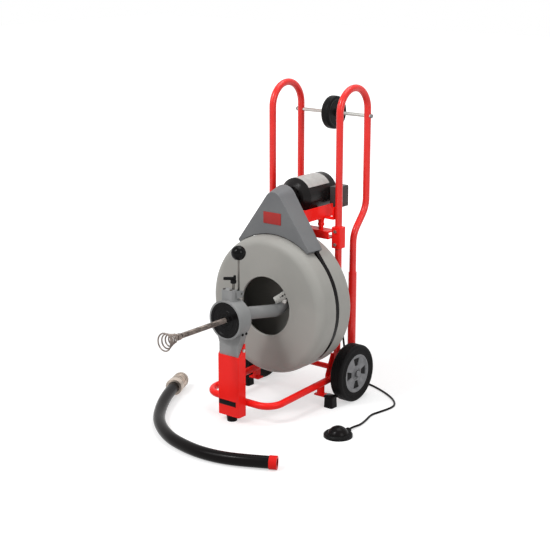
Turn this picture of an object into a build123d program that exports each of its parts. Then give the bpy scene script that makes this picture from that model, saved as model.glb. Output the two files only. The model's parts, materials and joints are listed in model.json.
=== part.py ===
"""Drum drain cleaning machine, in millimetres.

+Z is up, the cable comes out towards -Y and +X is the right-hand side seen from the front.
The origin is on the floor under the middle of the machine's length and width.
"""
import math
import os

import numpy as np
from build123d import *

os.makedirs("parts", exist_ok=True)

# Clearances
SEAT_GAP = 0.2
RUN_GAP = 0.05
BODY_GAP = 0.4

# Frame tubing
TUBE_D = 25.4
TUBE_WALL = 2.0
POST_X = 150.0
POST_Y = 112.0
HANDLE_DEPTH = 170.5
HANDLE_TOP = 1143.0
HANDLE_BEND_R = 84.0
POST_FOOT_Z = 120.0
REAR_LEG_LOW_Y = 204.0
REAR_LEG_FOOT_Z = 92.0
JOG_TOP_Z = 690.0
JOG_LOW_Z = 600.0
JOG_BEND_R = 90.0
SLEEVE_D = 30.0
SLEEVE_TOP = 458.0
SLEEVE_FOOT = 178.0
PLATE_BOLT_DROP = 22.0
SUPPORT_BOLT_INSET = 16.0

# Base and front column
BASE_FRONT_Z = 67.0
BASE_SLOPE = 0.04
BASE_CORNER_R = 60.0
COLUMN_W = 94.0
COLUMN_DEPTH = 38.0
COLUMN_LEAD = 43.0
COLUMN_SHEET = 4.0
COLUMN_FOOT_Z = 22.0
COLUMN_TOP_Z = 243.0
COLUMN_EAR_Z = 286.0
COLUMN_EAR_W = 6.0
COLUMN_BEND_R = 3.5
COLUMN_BOLT_IN = 12.0
COLUMN_BOLT_UP = 22.0
COLUMN_FOOT_R = 18.0
COLUMN_FOOT_FLARE = 6.0
SIDE_PLATE_T = 6.0
SIDE_PLATE_FRONT_Y = 66.0
SIDE_PLATE_REAR_Y = 224.0
SIDE_PLATE_LOW_Z = 80.0
SIDE_PLATE_HIGH_Z = 168.0
FOOT_W = 38.0
FOOT_L = 38.0
FOOT_H = 36.0
FOOT_Y = 14.0
FOOT_CORNER_R = 7.0
FOOT_DRAFT = 3.0
FOOT_REACH = 44.0
FOOT_PLATE_T = 6.0
FOOT_PLATE_L = 30.0
FOOT_RIB_T = 12.0

# Main wheels
WHEEL_R = 106.0
WHEEL_W = 50.0
WHEEL_OUTER_X = 236.0
AXLE_Y = 122.6
AXLE_D = 16.0
AXLE_TUBE_D = 20.0
AXLE_TUBE_HALF = 176.0
HUB_R = 71.0
HUB_DISC_T = 30.0
HUB_BOSS_R = 19.0
HUB_WINDOWS = 4
HUB_INSET = 2.0
HUB_DISH = 3.0
HUB_RIM_T = 7.0
HUB_RIM_SLOPE = 4.0
HUB_TUCK = 10.0
HUB_WALL = 6.0
HUB_BOSS_SLOPE = 3.0
HUB_WINDOW_INSET = 3.0
HUB_WINDOW_W = 30.0
HUB_WINDOW_H = 28.0
HUB_WINDOW_SLOPE = 78.0
HUB_WINDOW_FLOOR = 9.0
TYRE_EDGE_R = 9.0
TYRE_RINGS = (14.0, 22.0)
TYRE_RING_W = 2.4
AXLE_PROUD = 1.0
AXLE_CHAMFER = 1.0
CAP_R = 11.0
CAP_T = 4.0
CAP_DRAFT = 20.0

# Loading wheel
LOADING_Z = 1022.8
LOADING_R = 61.0
LOADING_W = 34.0
LOADING_AXLE_D = 13.0
LOADING_AXLE_PROUD = 3.0
LOADING_CAP_LIP = 1.5
LOADING_BOSS_R = 13.0
LOADING_BOSS_PROUD = 4.0
LOADING_BOSS_SLOPE = 2.0
LOADING_DISH = 5.0
LOADING_RIM_T = 16.0
LOADING_RIM_SLOPE = 4.0
LOADING_EDGE = 9.0

# Drum
DRUM_Z = 375.0
DRUM_R = 252.0
DRUM_WALL = 4.0
DRUM_FRONT_Y = -120.0
DRUM_SHOULDER_R = 34.0
DRUM_REAR_Y = 56.0
DRUM_REAR_R = 14.0
MOUTH_R = 107.0
MOUTH_LIP = 8.0
BELT_Y = -29.0
GROOVE_W = 20.0
GROOVE_DEPTH = 9.0
SPINDLE_D = 25.0
SPINDLE_FLANGE_R = 60.0
SPINDLE_FLANGE_T = 8.0
FLANGE_BOLTS = 6
COLLAR_T = 4.0
BEARING_OD = 52.0
BEARING_W = 12.0
BLOCK_SIZE = 84.0
BLOCK_DEPTH = 28.0
SUPPORT_H = 104.0
SUPPORT_T = 6.0
SUPPORT_END = 6.0
SUPPORT_CORNER_R = 10.0
SUPPORT_HOLE_ROOM = 6.0
BLOCK_CORNER_R = 12.0

# Drain cable
CABLE_D = 19.0
WIND_GAP = 1.2
WIND_TURNS = 5
WIND_CORE_T = 14.0
WIRE_D = 4.0
WIRE_PITCH = 5.2
CABLE_FREE = 226.0
COUPLING_R = 11.5
COUPLING_L = 14.0
AUGER_WIRE_D = 5.0
AUGER_TURNS = 5
AUGER_LENGTH = 60.0
AUGER_R_SMALL = 13.0
AUGER_R_LARGE = 32.0
AUGER_FLARE = 1.6
AUGER_TAIL = 24.0

# Distributor tube
GUIDE_D = 45.0
GUIDE_WALL = 3.0
GUIDE_REACH = 45.0
GUIDE_TURN_Y = -232.0
GUIDE_SETBACK = 150.0
GUIDE_BEND_R = 32.0
GUIDE_RISE = 62.0
GUIDE_NOSE = 4.0
CLAMP_H = 16.0
CLAMP_T = 3.0
STRAP_T = 4.0
STRAP_W = 26.0
STRAP_FOOT_L = 24.0
STRAP_REACH = 33.0
STRAP_SLOTS = 3
STRAP_SLOT_L = 12.0
STRAP_SLOT_W = 6.0
STRAP_SLOT_STEP = 15.0
DRUM_TURN = 20.0

# Belt and pulleys
BELT_T = 8.4
BELT_W = 16.6
PULLEY_R = 33.0
PULLEY_LIP = 1.0
PULLEY_FLANGE_T = 4.0
PULLEY_BOSS_R = 15.0
PULLEY_BOSS_L = 8.0
SHAFT_PROUD = 6.0
MOTOR_Z = 744.0

# Motor and its plate
MOTOR_R = 68.0
MOTOR_WALL = 4.0
MOTOR_FRONT_Y = 35.0
MOTOR_REAR_Y = 225.0
BELL_L = 22.0
SHAFT_D = 16.0
MOTOR_BEARING_OD = 40.0
MOTOR_BEARING_W = 12.0
STATOR_BORE_R = 42.0
STATOR_INSET = 24.0
BELL_RIM_L = 12.0
BELL_LIP = 3.0
BELL_SLOPE = 9.0
FRONT_BELL_DROP = 12.0
BELL_FACE_INSET = 16.0
BELL_FACE_T = 6.0
BELL_SHAFT_ROOM = 2.0
BELL_SEAT_T = 4.0
BELL_HUB_T = 5.0
BELL_HUB_SLOPE = 3.0
BELL_WALL = 6.0
BELL_SLOTS = 8
BELL_SLOT_L = 16.0
BELL_SLOT_W = 7.0
PLATE_REAR_Y = 157.0
PLATE_DROP = 74.0
PLATE_SIDE_H = 45.0
PLATE_T = 4.0
PLATE_HALF = 92.0
PLATE_EAR_L = 30.0
MOTOR_FOOT_W = 96.0
MOTOR_FOOT_L = 36.0
MOTOR_FOOT_SINK = 14.0
MOTOR_FOOT_FRONT = 40.0
MOTOR_FOOT_REAR = 20.0
BOX_SEAT_L = 29.0
BOX_SEAT_H = 40.0
BOX_SEAT_SINK = 20.0
BOX_SEAT_LEAD = 12.0
CROSS_H = 28.0
CROSS_LOW_Z = 602.0
CROSS_FRONT_Y = 74.0
CROSS_T = 5.0
BRACKET_H = 76.0
BRACKET_LOW_Z = 568.0
BRACKET_WALL = 6.0
BRACKET_INSET = 14.0
BRACKET_CORNER_R = 5.0
CROSS_TAIL = 10.0
SCREW_BACK = 20.0
SCREW_NUT_LIP = 3.0
SCREW_NUT_H = 12.0
SCREW_X = 82.0

# Belt guard
GUARD_FRONT_Y = -76.0
GUARD_REAR_Y = -9.0
GUARD_TOP_R = 43.0
GUARD_WALL = 3.0
GUARD_HALF = 167.0
GUARD_FOOT_Z = 588.0
GUARD_ARC_ROOM = 3.0
GUARD_DRAFT = 6.0
GUARD_TOP_FLARE = 11.0
GUARD_HEEL = 30.0
GUARD_EDGE_R = 2.5
TAB_X = 78.0
TAB_Z = 690.0
TAB_W = 34.0
TAB_H = 22.0
TAB_T = 5.0
BELT_ROOM = 2.5

# Switch box
BOX_X = 71.0
BOX_W = 37.0
BOX_Y = 165.0
BOX_L = 65.0
BOX_DROP = 47.0
BOX_H = 76.0
BOX_WALL = 3.0
SWITCH_RISE = 50.0
GLAND_RISE = 15.0
SWITCH_STEM_D = 10.0
SWITCH_T = 5.0
SWITCH_ARM_L = 28.0
SWITCH_ARM_W = 8.0
FITTING_D = 10.0
FITTING_DRAFT = 4.0
NUT_R = 9.0
NUT_H = 6.0
BARB_L = 18.0
BARB_LIP = 1.0

# Feed unit
FEED_R = 70.0
FEED_BORE_R = 58.0
FEED_FRONT_Y = -343.5
FEED_BACK_Y = -283.0
FACE_R = 63.0
FACE_T = 7.0
FACE_BORE_ROOM = 3.0
FACE_PROUD = 3.0
FACE_STEP = 2.0
FACE_RING_R = (54.0, 51.5, 38.0, 36.0, 27.0, 25.0)
FACE_NOSE_FOOT_R = 20.0
FACE_NOSE_R = 18.0
FACE_NOSE_STEP = 3.0
FEED_BACK_T = 6.0
BUSH_T = 4.0
SADDLE_LOW_Z = 216.0
SADDLE_FLARE = 18.0
SADDLE_INSET = 2.0
BOSS_SINK = 14.0
BOSS_CORNER_R = 5.0
BOSS_BOLT_X = (-16.0, 14.0)
BOSS_BOLT_Y = -324.0
BOSS_TOP_Z = 480.0
BOSS_W = 46.0
BOSS_FRONT_Y = -332.0
BOSS_REAR_Y = -298.0
ROLLER_R = 11.0
ROLLER_L = 22.0
ROLLER_PIN_D = 6.0
ROLLER_TILT = 10.0
ROLLERS = 3
ROLLER_ROOM = 1.5
EAR_T = 6.0
EAR_GAP = 14.0
EAR_R = 12.0
TRUNNION_D = 8.0
LEVER_HUB_R = 9.0
LEVER_X = 15.0
LEVER_Y = -284.0
LEVER_Z = 462.0
LEVER_D = 7.0
LEVER_L = 120.0
KNOB_R = 26.0
KNOB_FLAT = 3.0
SELECTOR_X = 10.0
SELECTOR_Y = -306.0
STEM_D = 10.0
STEM_SINK = 18.0
STEM_RISE = 22.0
ARM_HUB_R = 10.5
ARM_L = 44.0
ARM_W = 9.5
ARM_TURN = 38.0
ARM_TIP_H = 6.0
ARM_H = 11.0

# Foot switch, its hose and the guide hose
PEDAL_X = 380.0
PEDAL_Y = -197.0
PEDAL_R = 50.0
PEDAL_H = 13.0
BUTTON_R = 36.0
BUTTON_TRAVEL = 7.0
BUTTON_TOP = 37.0
PEDAL_FLOOR_T = 3.0
NIPPLE_X = 384.0
NIPPLE_Z = 8.0
NIPPLE_L = 12.0
HOSE_D = 8.0
BEND_SHARE = 0.45
GUIDE_HOSE_D = 42.0
GUIDE_HOSE_BORE = 30.0
COLLAR_R = 31.0
COLLAR_L = 20.0
RIBS = 5
RIB_L = 7.5
RIB_DEPTH = 2.0
HOSE_CAP_L = 24.0
HOSE_CAP_T = 2.0

# Fasteners
BOLT_D = 8.0
BOLT_HEAD = 13.0
BOLT_HEAD_H = 5.5
SCREW_D = 6.0
SCREW_HEAD = 10.0
SCREW_HEAD_H = 4.0

# Places that follow from the sizes above
REAR_LEG_Y = POST_Y + HANDLE_DEPTH
AXLE_Z = WHEEL_R
COLUMN_FRONT_Y = FEED_BACK_Y - COLUMN_LEAD
COLUMN_REAR_Y = COLUMN_FRONT_Y + COLUMN_DEPTH
BASE_FRONT_Y = COLUMN_REAR_Y + TUBE_D / 2 + SEAT_GAP
BASE_REAR_Y = POST_Y - TUBE_D / 2 - SEAT_GAP
PLATE_X = POST_X - TUBE_D / 2 - SEAT_GAP
SUPPORT_Y = POST_Y - TUBE_D / 2 - SEAT_GAP - SUPPORT_T
BLOCK_Y = SUPPORT_Y - BLOCK_DEPTH
GROOVE_R = DRUM_R - GROOVE_DEPTH
PULLEY_GROOVE_R = PULLEY_R - BELT_T - BODY_GAP
GUARD_ARC_R = DRUM_R + GUARD_ARC_ROOM
BOX_Z = MOTOR_Z - BOX_DROP
PLATE_FLOOR_Z = MOTOR_Z - PLATE_DROP
PLATE_TOP_Z = PLATE_FLOOR_Z + PLATE_SIDE_H
WIND_CORE_R = GROOVE_R - DRUM_WALL - SEAT_GAP
WIND_R = WIND_CORE_R - WIND_CORE_T - SEAT_GAP - CABLE_D / 2
WIND_START_Y = GUIDE_TURN_Y + GUIDE_SETBACK
WIND_PITCH = CABLE_D + WIND_GAP
FACE_BORE_R = CABLE_D / 2 + FACE_BORE_ROOM
FEED_FACE_BACK_Y = FEED_FRONT_Y + FACE_T


def base_z(y):
    """Height of the base tube's middle line at a place along the machine."""
    return BASE_FRONT_Z + BASE_SLOPE * (y - BASE_FRONT_Y)


def front_plane(y):
    """Upright plane at y, seen from the front: local axes are X and Z, outward is -Y."""
    return Plane(origin=(0, y, 0), x_dir=(1, 0, 0), z_dir=(0, -1, 0))


def side_plane(x):
    """Upright plane at x, seen from the right: local axes are Y and Z, outward is +X."""
    return Plane(origin=(x, 0, 0), x_dir=(0, 1, 0), z_dir=(1, 0, 0))


DRUM_AXIS = Axis((0, 0, DRUM_Z), (0, 1, 0))
MOTOR_AXIS = Axis((0, 0, MOTOR_Z), (0, 1, 0))


def add_tube(points, radii, outer_d, inner_d=0.0):
    """Sweeps a round tube along straight runs joined by tangent arcs."""
    with BuildLine() as route:
        FilletPolyline(*points, radius=radii)
    with BuildSketch(Plane(origin=route.line @ 0, z_dir=route.line % 0)) as section:
        Circle(outer_d / 2)
        if inner_d:
            Circle(inner_d / 2, mode=Mode.SUBTRACT)
    sweep(section.sketch, path=route.line)
    return route.wire().length


def add_bolt(place, outward, shank_d, shank_l, head_d, head_h):
    """Adds one hex-headed bolt whose head stands outward from its seat."""
    seat = Plane(origin=place, z_dir=outward)
    with BuildSketch(seat) as head:
        RegularPolygon(head_d / 2, 6)
    extrude(head.sketch, amount=head_h)
    with BuildSketch(seat) as shank:
        Circle(shank_d / 2)
    extrude(shank.sketch, amount=-shank_l)


def add_ring(axis_plane, axis, profile):
    """Turns a closed outline of (along, up) points about an axis."""
    with BuildSketch(axis_plane) as section:
        with BuildLine():
            Polyline(*profile, close=True)
        make_face()
    revolve(section.sketch, axis=axis)


def drum_profile(points):
    """Points of (y, radius) about the drum's axis, as places on the side plane."""
    return [(y, DRUM_Z + radius) for y, radius in points]


def motor_profile(points):
    """Points of (y, radius) about the motor's axis, as places on the side plane."""
    return [(y, MOTOR_Z + radius) for y, radius in points]


def wheel_profile(points):
    """Points of (x, radius) about the main axle, as places on the axle's plane."""
    return [(x, AXLE_Z + radius) for x, radius in points]


def keep(name, builder):
    """Labels a finished piece and writes it."""
    builder.part.label = name
    export_step(builder.part, f"parts/{name}.step")


def keep_turned(name, builder):
    """Writes a piece that sits in the drum, turned with the drum to where the photo shows it."""
    turned = builder.part.rotate(DRUM_AXIS, DRUM_TURN)
    turned.label = name
    export_step(turned, f"parts/{name}.step")


def biarc_middle(start, start_dir, end, end_dir):
    """Joint of the two tangent arcs that lead from one place and direction to another."""
    chord = end - start
    total = start_dir + end_dir
    slack = 2 * (1 - start_dir.dot(end_dir))
    along = chord.dot(total)
    if slack < 1e-9:
        reach = chord.dot(chord) / (4 * chord.dot(end_dir))
    else:
        reach = (-along + math.sqrt(along**2 + slack * chord.dot(chord))) / slack
    return (start + start_dir * reach + end - end_dir * reach) / 2


def add_biarcs(places, directions):
    """Draws tangent arcs through a list of places with given directions."""
    for index in range(len(places) - 1):
        middle = biarc_middle(
            places[index], directions[index], places[index + 1], directions[index + 1]
        )
        TangentArc(places[index], middle, tangent=directions[index])
        TangentArc(places[index + 1], middle, tangent=-directions[index + 1])


def least_gap(path, step, skip, wire_d):
    """Least gap of a wound wire to itself, from points a step apart along its middle line."""
    count = int(path.length / step)
    places = np.array([tuple(path @ (index / count)) for index in range(count + 1)])
    least = math.inf
    for index in range(count - int(skip / step)):
        apart = places[index + int(skip / step) :] - places[index]
        least = min(least, np.sqrt((apart**2).sum(axis=1)).min())
    return round(float(least) - wire_d, 2)


# Base tube: a U that rises gently to the rear
with BuildPart() as base_tube:
    add_tube(
        [
            (POST_X, BASE_REAR_Y, base_z(BASE_REAR_Y)),
            (POST_X, BASE_FRONT_Y, BASE_FRONT_Z),
            (-POST_X, BASE_FRONT_Y, BASE_FRONT_Z),
            (-POST_X, BASE_REAR_Y, base_z(BASE_REAR_Y)),
        ],
        [BASE_CORNER_R, BASE_CORNER_R],
        TUBE_D,
        TUBE_D - 2 * TUBE_WALL,
    )
keep("base_tube", base_tube)


# Hairpin handles, one each side, with holes for the loading axle and the bolts
PLATE_BOLT_Z = PLATE_TOP_Z - PLATE_BOLT_DROP
SUPPORT_BOLT_STEP = SUPPORT_H / 2 - SUPPORT_BOLT_INSET
for side, name in ((-1, "left_handle"), (1, "right_handle")):
    apex = HANDLE_TOP - TUBE_D / 2
    with BuildPart() as handle:
        add_tube(
            [
                (side * POST_X, POST_Y, POST_FOOT_Z),
                (side * POST_X, POST_Y, apex),
                (side * POST_X, REAR_LEG_Y, apex),
                (side * POST_X, REAR_LEG_Y, JOG_TOP_Z),
                (side * POST_X, REAR_LEG_LOW_Y, JOG_LOW_Z),
                (side * POST_X, REAR_LEG_LOW_Y, REAR_LEG_FOOT_Z),
            ],
            [HANDLE_BEND_R, HANDLE_BEND_R, JOG_BEND_R, JOG_BEND_R],
            TUBE_D,
            TUBE_D - 2 * TUBE_WALL,
        )
        with BuildSketch(side_plane(side * POST_X)):
            with Locations((REAR_LEG_Y, LOADING_Z)):
                Circle(LOADING_AXLE_D / 2 + SEAT_GAP)
        extrude(amount=TUBE_D, both=True, mode=Mode.SUBTRACT)
        with BuildSketch(front_plane(POST_Y)):
            with Locations(
                (side * POST_X, DRUM_Z - SUPPORT_BOLT_STEP), (side * POST_X, DRUM_Z + SUPPORT_BOLT_STEP)
            ):
                Circle(BOLT_D / 2 + SEAT_GAP)
        extrude(amount=TUBE_D, mode=Mode.SUBTRACT)
        with BuildSketch(side_plane(side * POST_X)):
            with Locations((POST_Y, PLATE_BOLT_Z)):
                Circle(BOLT_D / 2 + SEAT_GAP)
        extrude(amount=-side * TUBE_D, mode=Mode.SUBTRACT)
    keep(name, handle)


# Sleeves round the lower rear legs
with BuildPart() as leg_sleeves:
    with BuildSketch(Plane.XY.offset(SLEEVE_FOOT)):
        with Locations((-POST_X, REAR_LEG_LOW_Y), (POST_X, REAR_LEG_LOW_Y)):
            Circle(SLEEVE_D / 2)
        with Locations((-POST_X, REAR_LEG_LOW_Y), (POST_X, REAR_LEG_LOW_Y)):
            Circle(TUBE_D / 2 + SEAT_GAP, mode=Mode.SUBTRACT)
    extrude(amount=SLEEVE_TOP - SLEEVE_FOOT)
keep("leg_sleeves", leg_sleeves)


# Side plates that carry the axle, the posts and the base tube's ends
with BuildPart() as side_plates:
    for side in (-1, 1):
        with BuildSketch(side_plane(side * PLATE_X)):
            with BuildLine():
                Polyline(
                    (SIDE_PLATE_FRONT_Y, SIDE_PLATE_LOW_Z),
                    (SIDE_PLATE_REAR_Y, SIDE_PLATE_LOW_Z),
                    (SIDE_PLATE_REAR_Y, SIDE_PLATE_HIGH_Z),
                    (POST_Y - TUBE_D / 2, SIDE_PLATE_HIGH_Z),
                    (SIDE_PLATE_FRONT_Y, base_z(SIDE_PLATE_FRONT_Y) + TUBE_D / 2),
                    close=True,
                )
            make_face()
            with Locations((AXLE_Y, AXLE_Z)):
                Circle(AXLE_TUBE_D / 2 + SEAT_GAP, mode=Mode.SUBTRACT)
        extrude(amount=-side * SIDE_PLATE_T)
keep("side_plates", side_plates)


# Axle tube, axle and caps
with BuildPart() as axle_tube:
    with BuildSketch(side_plane(-AXLE_TUBE_HALF)):
        with Locations((AXLE_Y, AXLE_Z)):
            Circle(AXLE_TUBE_D / 2)
            Circle(AXLE_D / 2 + SEAT_GAP, mode=Mode.SUBTRACT)
    extrude(amount=2 * AXLE_TUBE_HALF)
keep("axle_tube", axle_tube)

AXLE_HALF = WHEEL_OUTER_X + AXLE_PROUD
with BuildPart() as wheel_axle:
    with BuildSketch(side_plane(-AXLE_HALF)):
        with Locations((AXLE_Y, AXLE_Z)):
            Circle(AXLE_D / 2)
    extrude(amount=2 * AXLE_HALF)
    chamfer(wheel_axle.edges().filter_by(GeomType.CIRCLE), AXLE_CHAMFER)
keep("wheel_axle", wheel_axle)

LOADING_AXLE_HALF = POST_X + TUBE_D / 2 + LOADING_AXLE_PROUD
with BuildPart() as loading_axle:
    with BuildSketch(side_plane(-LOADING_AXLE_HALF)):
        with Locations((REAR_LEG_Y, LOADING_Z)):
            Circle(LOADING_AXLE_D / 2)
    extrude(amount=2 * LOADING_AXLE_HALF)
    chamfer(loading_axle.edges().filter_by(GeomType.CIRCLE), AXLE_CHAMFER)
keep("loading_axle", loading_axle)

with BuildPart() as axle_caps:
    for side in (-1, 1):
        for half, y, z, radius in (
            (AXLE_HALF, AXLE_Y, AXLE_Z, CAP_R),
            (LOADING_AXLE_HALF, REAR_LEG_Y, LOADING_Z, LOADING_AXLE_D / 2 + LOADING_CAP_LIP),
        ):
            with BuildSketch(Plane(origin=(side * half, y, z), z_dir=(side, 0, 0))):
                Circle(radius)
            extrude(amount=CAP_T, taper=CAP_DRAFT)
keep("axle_caps", axle_caps)


# Main wheels: rubber tyre on a moulded hub with four pockets
TYRE_INNER_X = WHEEL_OUTER_X - WHEEL_W
HUB_INNER_X = AXLE_TUBE_HALF + BODY_GAP
HUB_FACE_X = WHEEL_OUTER_X - HUB_INSET
for side, wheel in ((-1, "left"), (1, "right")):
    tyre_plane = front_plane(AXLE_Y)
    wheel_axis = Axis((0, AXLE_Y, AXLE_Z), (1, 0, 0))
    middle_x = side * (WHEEL_OUTER_X - WHEEL_W / 2)
    with BuildPart() as tyre:
        with BuildSketch(tyre_plane):
            with Locations((middle_x, AXLE_Z + (WHEEL_R + HUB_R) / 2)):
                RectangleRounded(WHEEL_W, WHEEL_R - HUB_R, TYRE_EDGE_R)
        revolve(axis=wheel_axis)
        for step in TYRE_RINGS:
            with BuildSketch(tyre_plane):
                with Locations((side * WHEEL_OUTER_X, AXLE_Z + HUB_R + step)):
                    Rectangle(TYRE_RING_W, TYRE_RING_W)
            revolve(axis=wheel_axis, mode=Mode.SUBTRACT)
    keep(f"{wheel}_tyre", tyre)

    with BuildPart() as hub:
        rim_r = HUB_R - SEAT_GAP
        add_ring(
            tyre_plane,
            wheel_axis,
            wheel_profile(
                [
                    (side * HUB_INNER_X, AXLE_D / 2 + RUN_GAP),
                    (side * HUB_INNER_X, HUB_BOSS_R),
                    (side * (HUB_FACE_X - HUB_DISC_T), HUB_BOSS_R + HUB_BOSS_SLOPE),
                    (side * (HUB_FACE_X - HUB_DISC_T), rim_r - HUB_WALL - HUB_RIM_SLOPE),
                    (side * (TYRE_INNER_X + HUB_TUCK), rim_r - HUB_WALL),
                    (side * (TYRE_INNER_X + HUB_TUCK), rim_r),
                    (side * HUB_FACE_X, rim_r),
                    (side * HUB_FACE_X, rim_r - HUB_RIM_T),
                    (side * (HUB_FACE_X - HUB_DISH), rim_r - HUB_RIM_T - HUB_RIM_SLOPE),
                    (side * (HUB_FACE_X - HUB_DISH), HUB_BOSS_R + HUB_BOSS_SLOPE),
                    (side * HUB_FACE_X, HUB_BOSS_R),
                    (side * (WHEEL_OUTER_X - BODY_GAP), HUB_BOSS_R - HUB_BOSS_SLOPE),
                    (side * (WHEEL_OUTER_X - BODY_GAP), AXLE_D / 2 + RUN_GAP),
                ]
            ),
        )
        with BuildSketch(side_plane(side * HUB_FACE_X)):
            with Locations((AXLE_Y, AXLE_Z)):
                with PolarLocations((HUB_BOSS_R + rim_r) / 2 - HUB_WINDOW_INSET, HUB_WINDOWS):
                    Trapezoid(HUB_WINDOW_W, HUB_WINDOW_H, HUB_WINDOW_SLOPE, rotation=-90)
        extrude(amount=-side * (HUB_DISC_T - HUB_WINDOW_FLOOR), mode=Mode.SUBTRACT)
    keep(f"{wheel}_hub", hub)


# Loading wheel at the top of the handles
LOADING_AXIS = Axis((0, REAR_LEG_Y, LOADING_Z), (1, 0, 0))
half_w = LOADING_W / 2
loading_side = [
    (half_w, LOADING_R - LOADING_EDGE),
    (half_w, LOADING_R - LOADING_RIM_T),
    (half_w - LOADING_DISH, LOADING_R - LOADING_RIM_T - LOADING_RIM_SLOPE),
    (half_w - LOADING_DISH, LOADING_BOSS_R + LOADING_BOSS_SLOPE),
    (half_w + LOADING_BOSS_PROUD, LOADING_BOSS_R),
    (half_w + LOADING_BOSS_PROUD, LOADING_AXLE_D / 2 + RUN_GAP),
]
tread = [(half_w - LOADING_EDGE, LOADING_R), (LOADING_EDGE - half_w, LOADING_R)]
other_side = [(-x, radius) for x, radius in loading_side]
with BuildPart() as loading_wheel:
    add_ring(
        front_plane(REAR_LEG_Y),
        LOADING_AXIS,
        [(x, LOADING_Z + radius) for x, radius in loading_side[::-1] + tread + other_side],
    )
keep("loading_wheel", loading_wheel)


# Front column: a sheet channel, open to the rear, with ears that hold the feed unit
COLUMN_BOLT_Y = COLUMN_REAR_Y - COLUMN_BOLT_IN
COLUMN_BOLT_Z = COLUMN_TOP_Z + COLUMN_BOLT_UP
with BuildPart() as front_column:
    with BuildSketch(Plane.XY.offset(COLUMN_FOOT_Z)):
        with Locations((0, COLUMN_FRONT_Y + COLUMN_DEPTH / 2)):
            Rectangle(COLUMN_W, COLUMN_DEPTH)
    extrude(amount=COLUMN_EAR_Z - COLUMN_FOOT_Z)
    with BuildSketch(Plane.XY.offset(COLUMN_FOOT_Z + COLUMN_SHEET)):
        with Locations((0, COLUMN_FRONT_Y + COLUMN_SHEET + COLUMN_DEPTH / 2)):
            Rectangle(COLUMN_W - 2 * COLUMN_SHEET, COLUMN_DEPTH)
    extrude(amount=COLUMN_EAR_Z, mode=Mode.SUBTRACT)
    with BuildSketch(side_plane(-COLUMN_W)):
        with BuildLine():
            Polyline(
                (COLUMN_FRONT_Y - COLUMN_SHEET, COLUMN_TOP_Z),
                (COLUMN_FRONT_Y + COLUMN_SHEET, COLUMN_TOP_Z),
                (COLUMN_REAR_Y - COLUMN_EAR_W, COLUMN_EAR_Z),
                (COLUMN_FRONT_Y - COLUMN_SHEET, COLUMN_EAR_Z),
                close=True,
            )
        make_face()
    extrude(amount=2 * COLUMN_W, mode=Mode.SUBTRACT)
    fillet(front_column.edges().filter_by(Axis.Z).group_by(Axis.Y)[0], COLUMN_BEND_R)
    with BuildSketch(side_plane(0)):
        with Locations((COLUMN_BOLT_Y, COLUMN_BOLT_Z)):
            Circle(BOLT_D / 2 + SEAT_GAP)
    extrude(amount=COLUMN_W, both=True, mode=Mode.SUBTRACT)
keep("front_column", front_column)


# Rubber feet under the column and beside the main wheels, with the rear ones' brackets
FOOT_X = POST_X + FOOT_REACH
with BuildPart() as rubber_feet:
    with BuildSketch(Plane.XY):
        with Locations((0, COLUMN_FRONT_Y + COLUMN_DEPTH / 2)):
            Circle(COLUMN_FOOT_R)
    extrude(amount=COLUMN_FOOT_Z, taper=-COLUMN_FOOT_FLARE)
    for side in (-1, 1):
        with BuildSketch(Plane.XY):
            with Locations((side * FOOT_X, FOOT_Y)):
                RectangleRounded(FOOT_W, FOOT_L, FOOT_CORNER_R)
        extrude(amount=FOOT_H, taper=FOOT_DRAFT)
keep("rubber_feet", rubber_feet)

with BuildPart() as foot_brackets:
    for side in (-1, 1):
        with BuildSketch(Plane.XY.offset(FOOT_H)):
            with Locations((side * (FOOT_X + POST_X) / 2, FOOT_Y)):
                Rectangle(FOOT_W + abs(FOOT_X - POST_X), FOOT_PLATE_L)
        extrude(amount=FOOT_PLATE_T)
        with BuildSketch(Plane.XY.offset(FOOT_H + FOOT_PLATE_T)):
            with Locations((side * POST_X, FOOT_Y)):
                Rectangle(FOOT_RIB_T, FOOT_PLATE_L)
        extrude(amount=base_z(FOOT_Y) - FOOT_H - FOOT_PLATE_T)
        with BuildSketch(front_plane(BASE_FRONT_Y)):
            with Locations((side * POST_X, BASE_FRONT_Z)):
                Circle(TUBE_D / 2 + SEAT_GAP)
        extrude(dir=(0, 1, BASE_SLOPE), amount=2 * (FOOT_Y - BASE_FRONT_Y), mode=Mode.SUBTRACT)
keep("foot_brackets", foot_brackets)


# Drum support bar across the posts, bearing block and bearings
with BuildPart() as drum_support:
    with BuildSketch(front_plane(SUPPORT_Y + SUPPORT_T)):
        with Locations((0, DRUM_Z)):
            RectangleRounded(2 * (POST_X + SUPPORT_END) + TUBE_D, SUPPORT_H, SUPPORT_CORNER_R)
            Circle(SPINDLE_D / 2 + SUPPORT_HOLE_ROOM, mode=Mode.SUBTRACT)
        with Locations((0, DRUM_Z)):
            with GridLocations(2 * POST_X, 2 * SUPPORT_BOLT_STEP, 2, 2):
                Circle(BOLT_D / 2 + SEAT_GAP, mode=Mode.SUBTRACT)
    extrude(amount=SUPPORT_T)
keep("drum_support", drum_support)

with BuildPart() as bearing_block:
    with BuildSketch(front_plane(SUPPORT_Y)):
        with Locations((0, DRUM_Z)):
            RectangleRounded(BLOCK_SIZE, BLOCK_SIZE, BLOCK_CORNER_R)
            Circle(BEARING_OD / 2 + SEAT_GAP, mode=Mode.SUBTRACT)
    extrude(amount=BLOCK_DEPTH)
keep("bearing_block", bearing_block)

with BuildPart() as drum_bearings:
    for start in (BLOCK_Y, SUPPORT_Y - BEARING_W):
        with BuildSketch(front_plane(start)):
            with Locations((0, DRUM_Z)):
                Circle(BEARING_OD / 2)
                Circle(SPINDLE_D / 2 + RUN_GAP, mode=Mode.SUBTRACT)
        extrude(amount=-BEARING_W)
keep("drum_bearings", drum_bearings)


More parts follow.
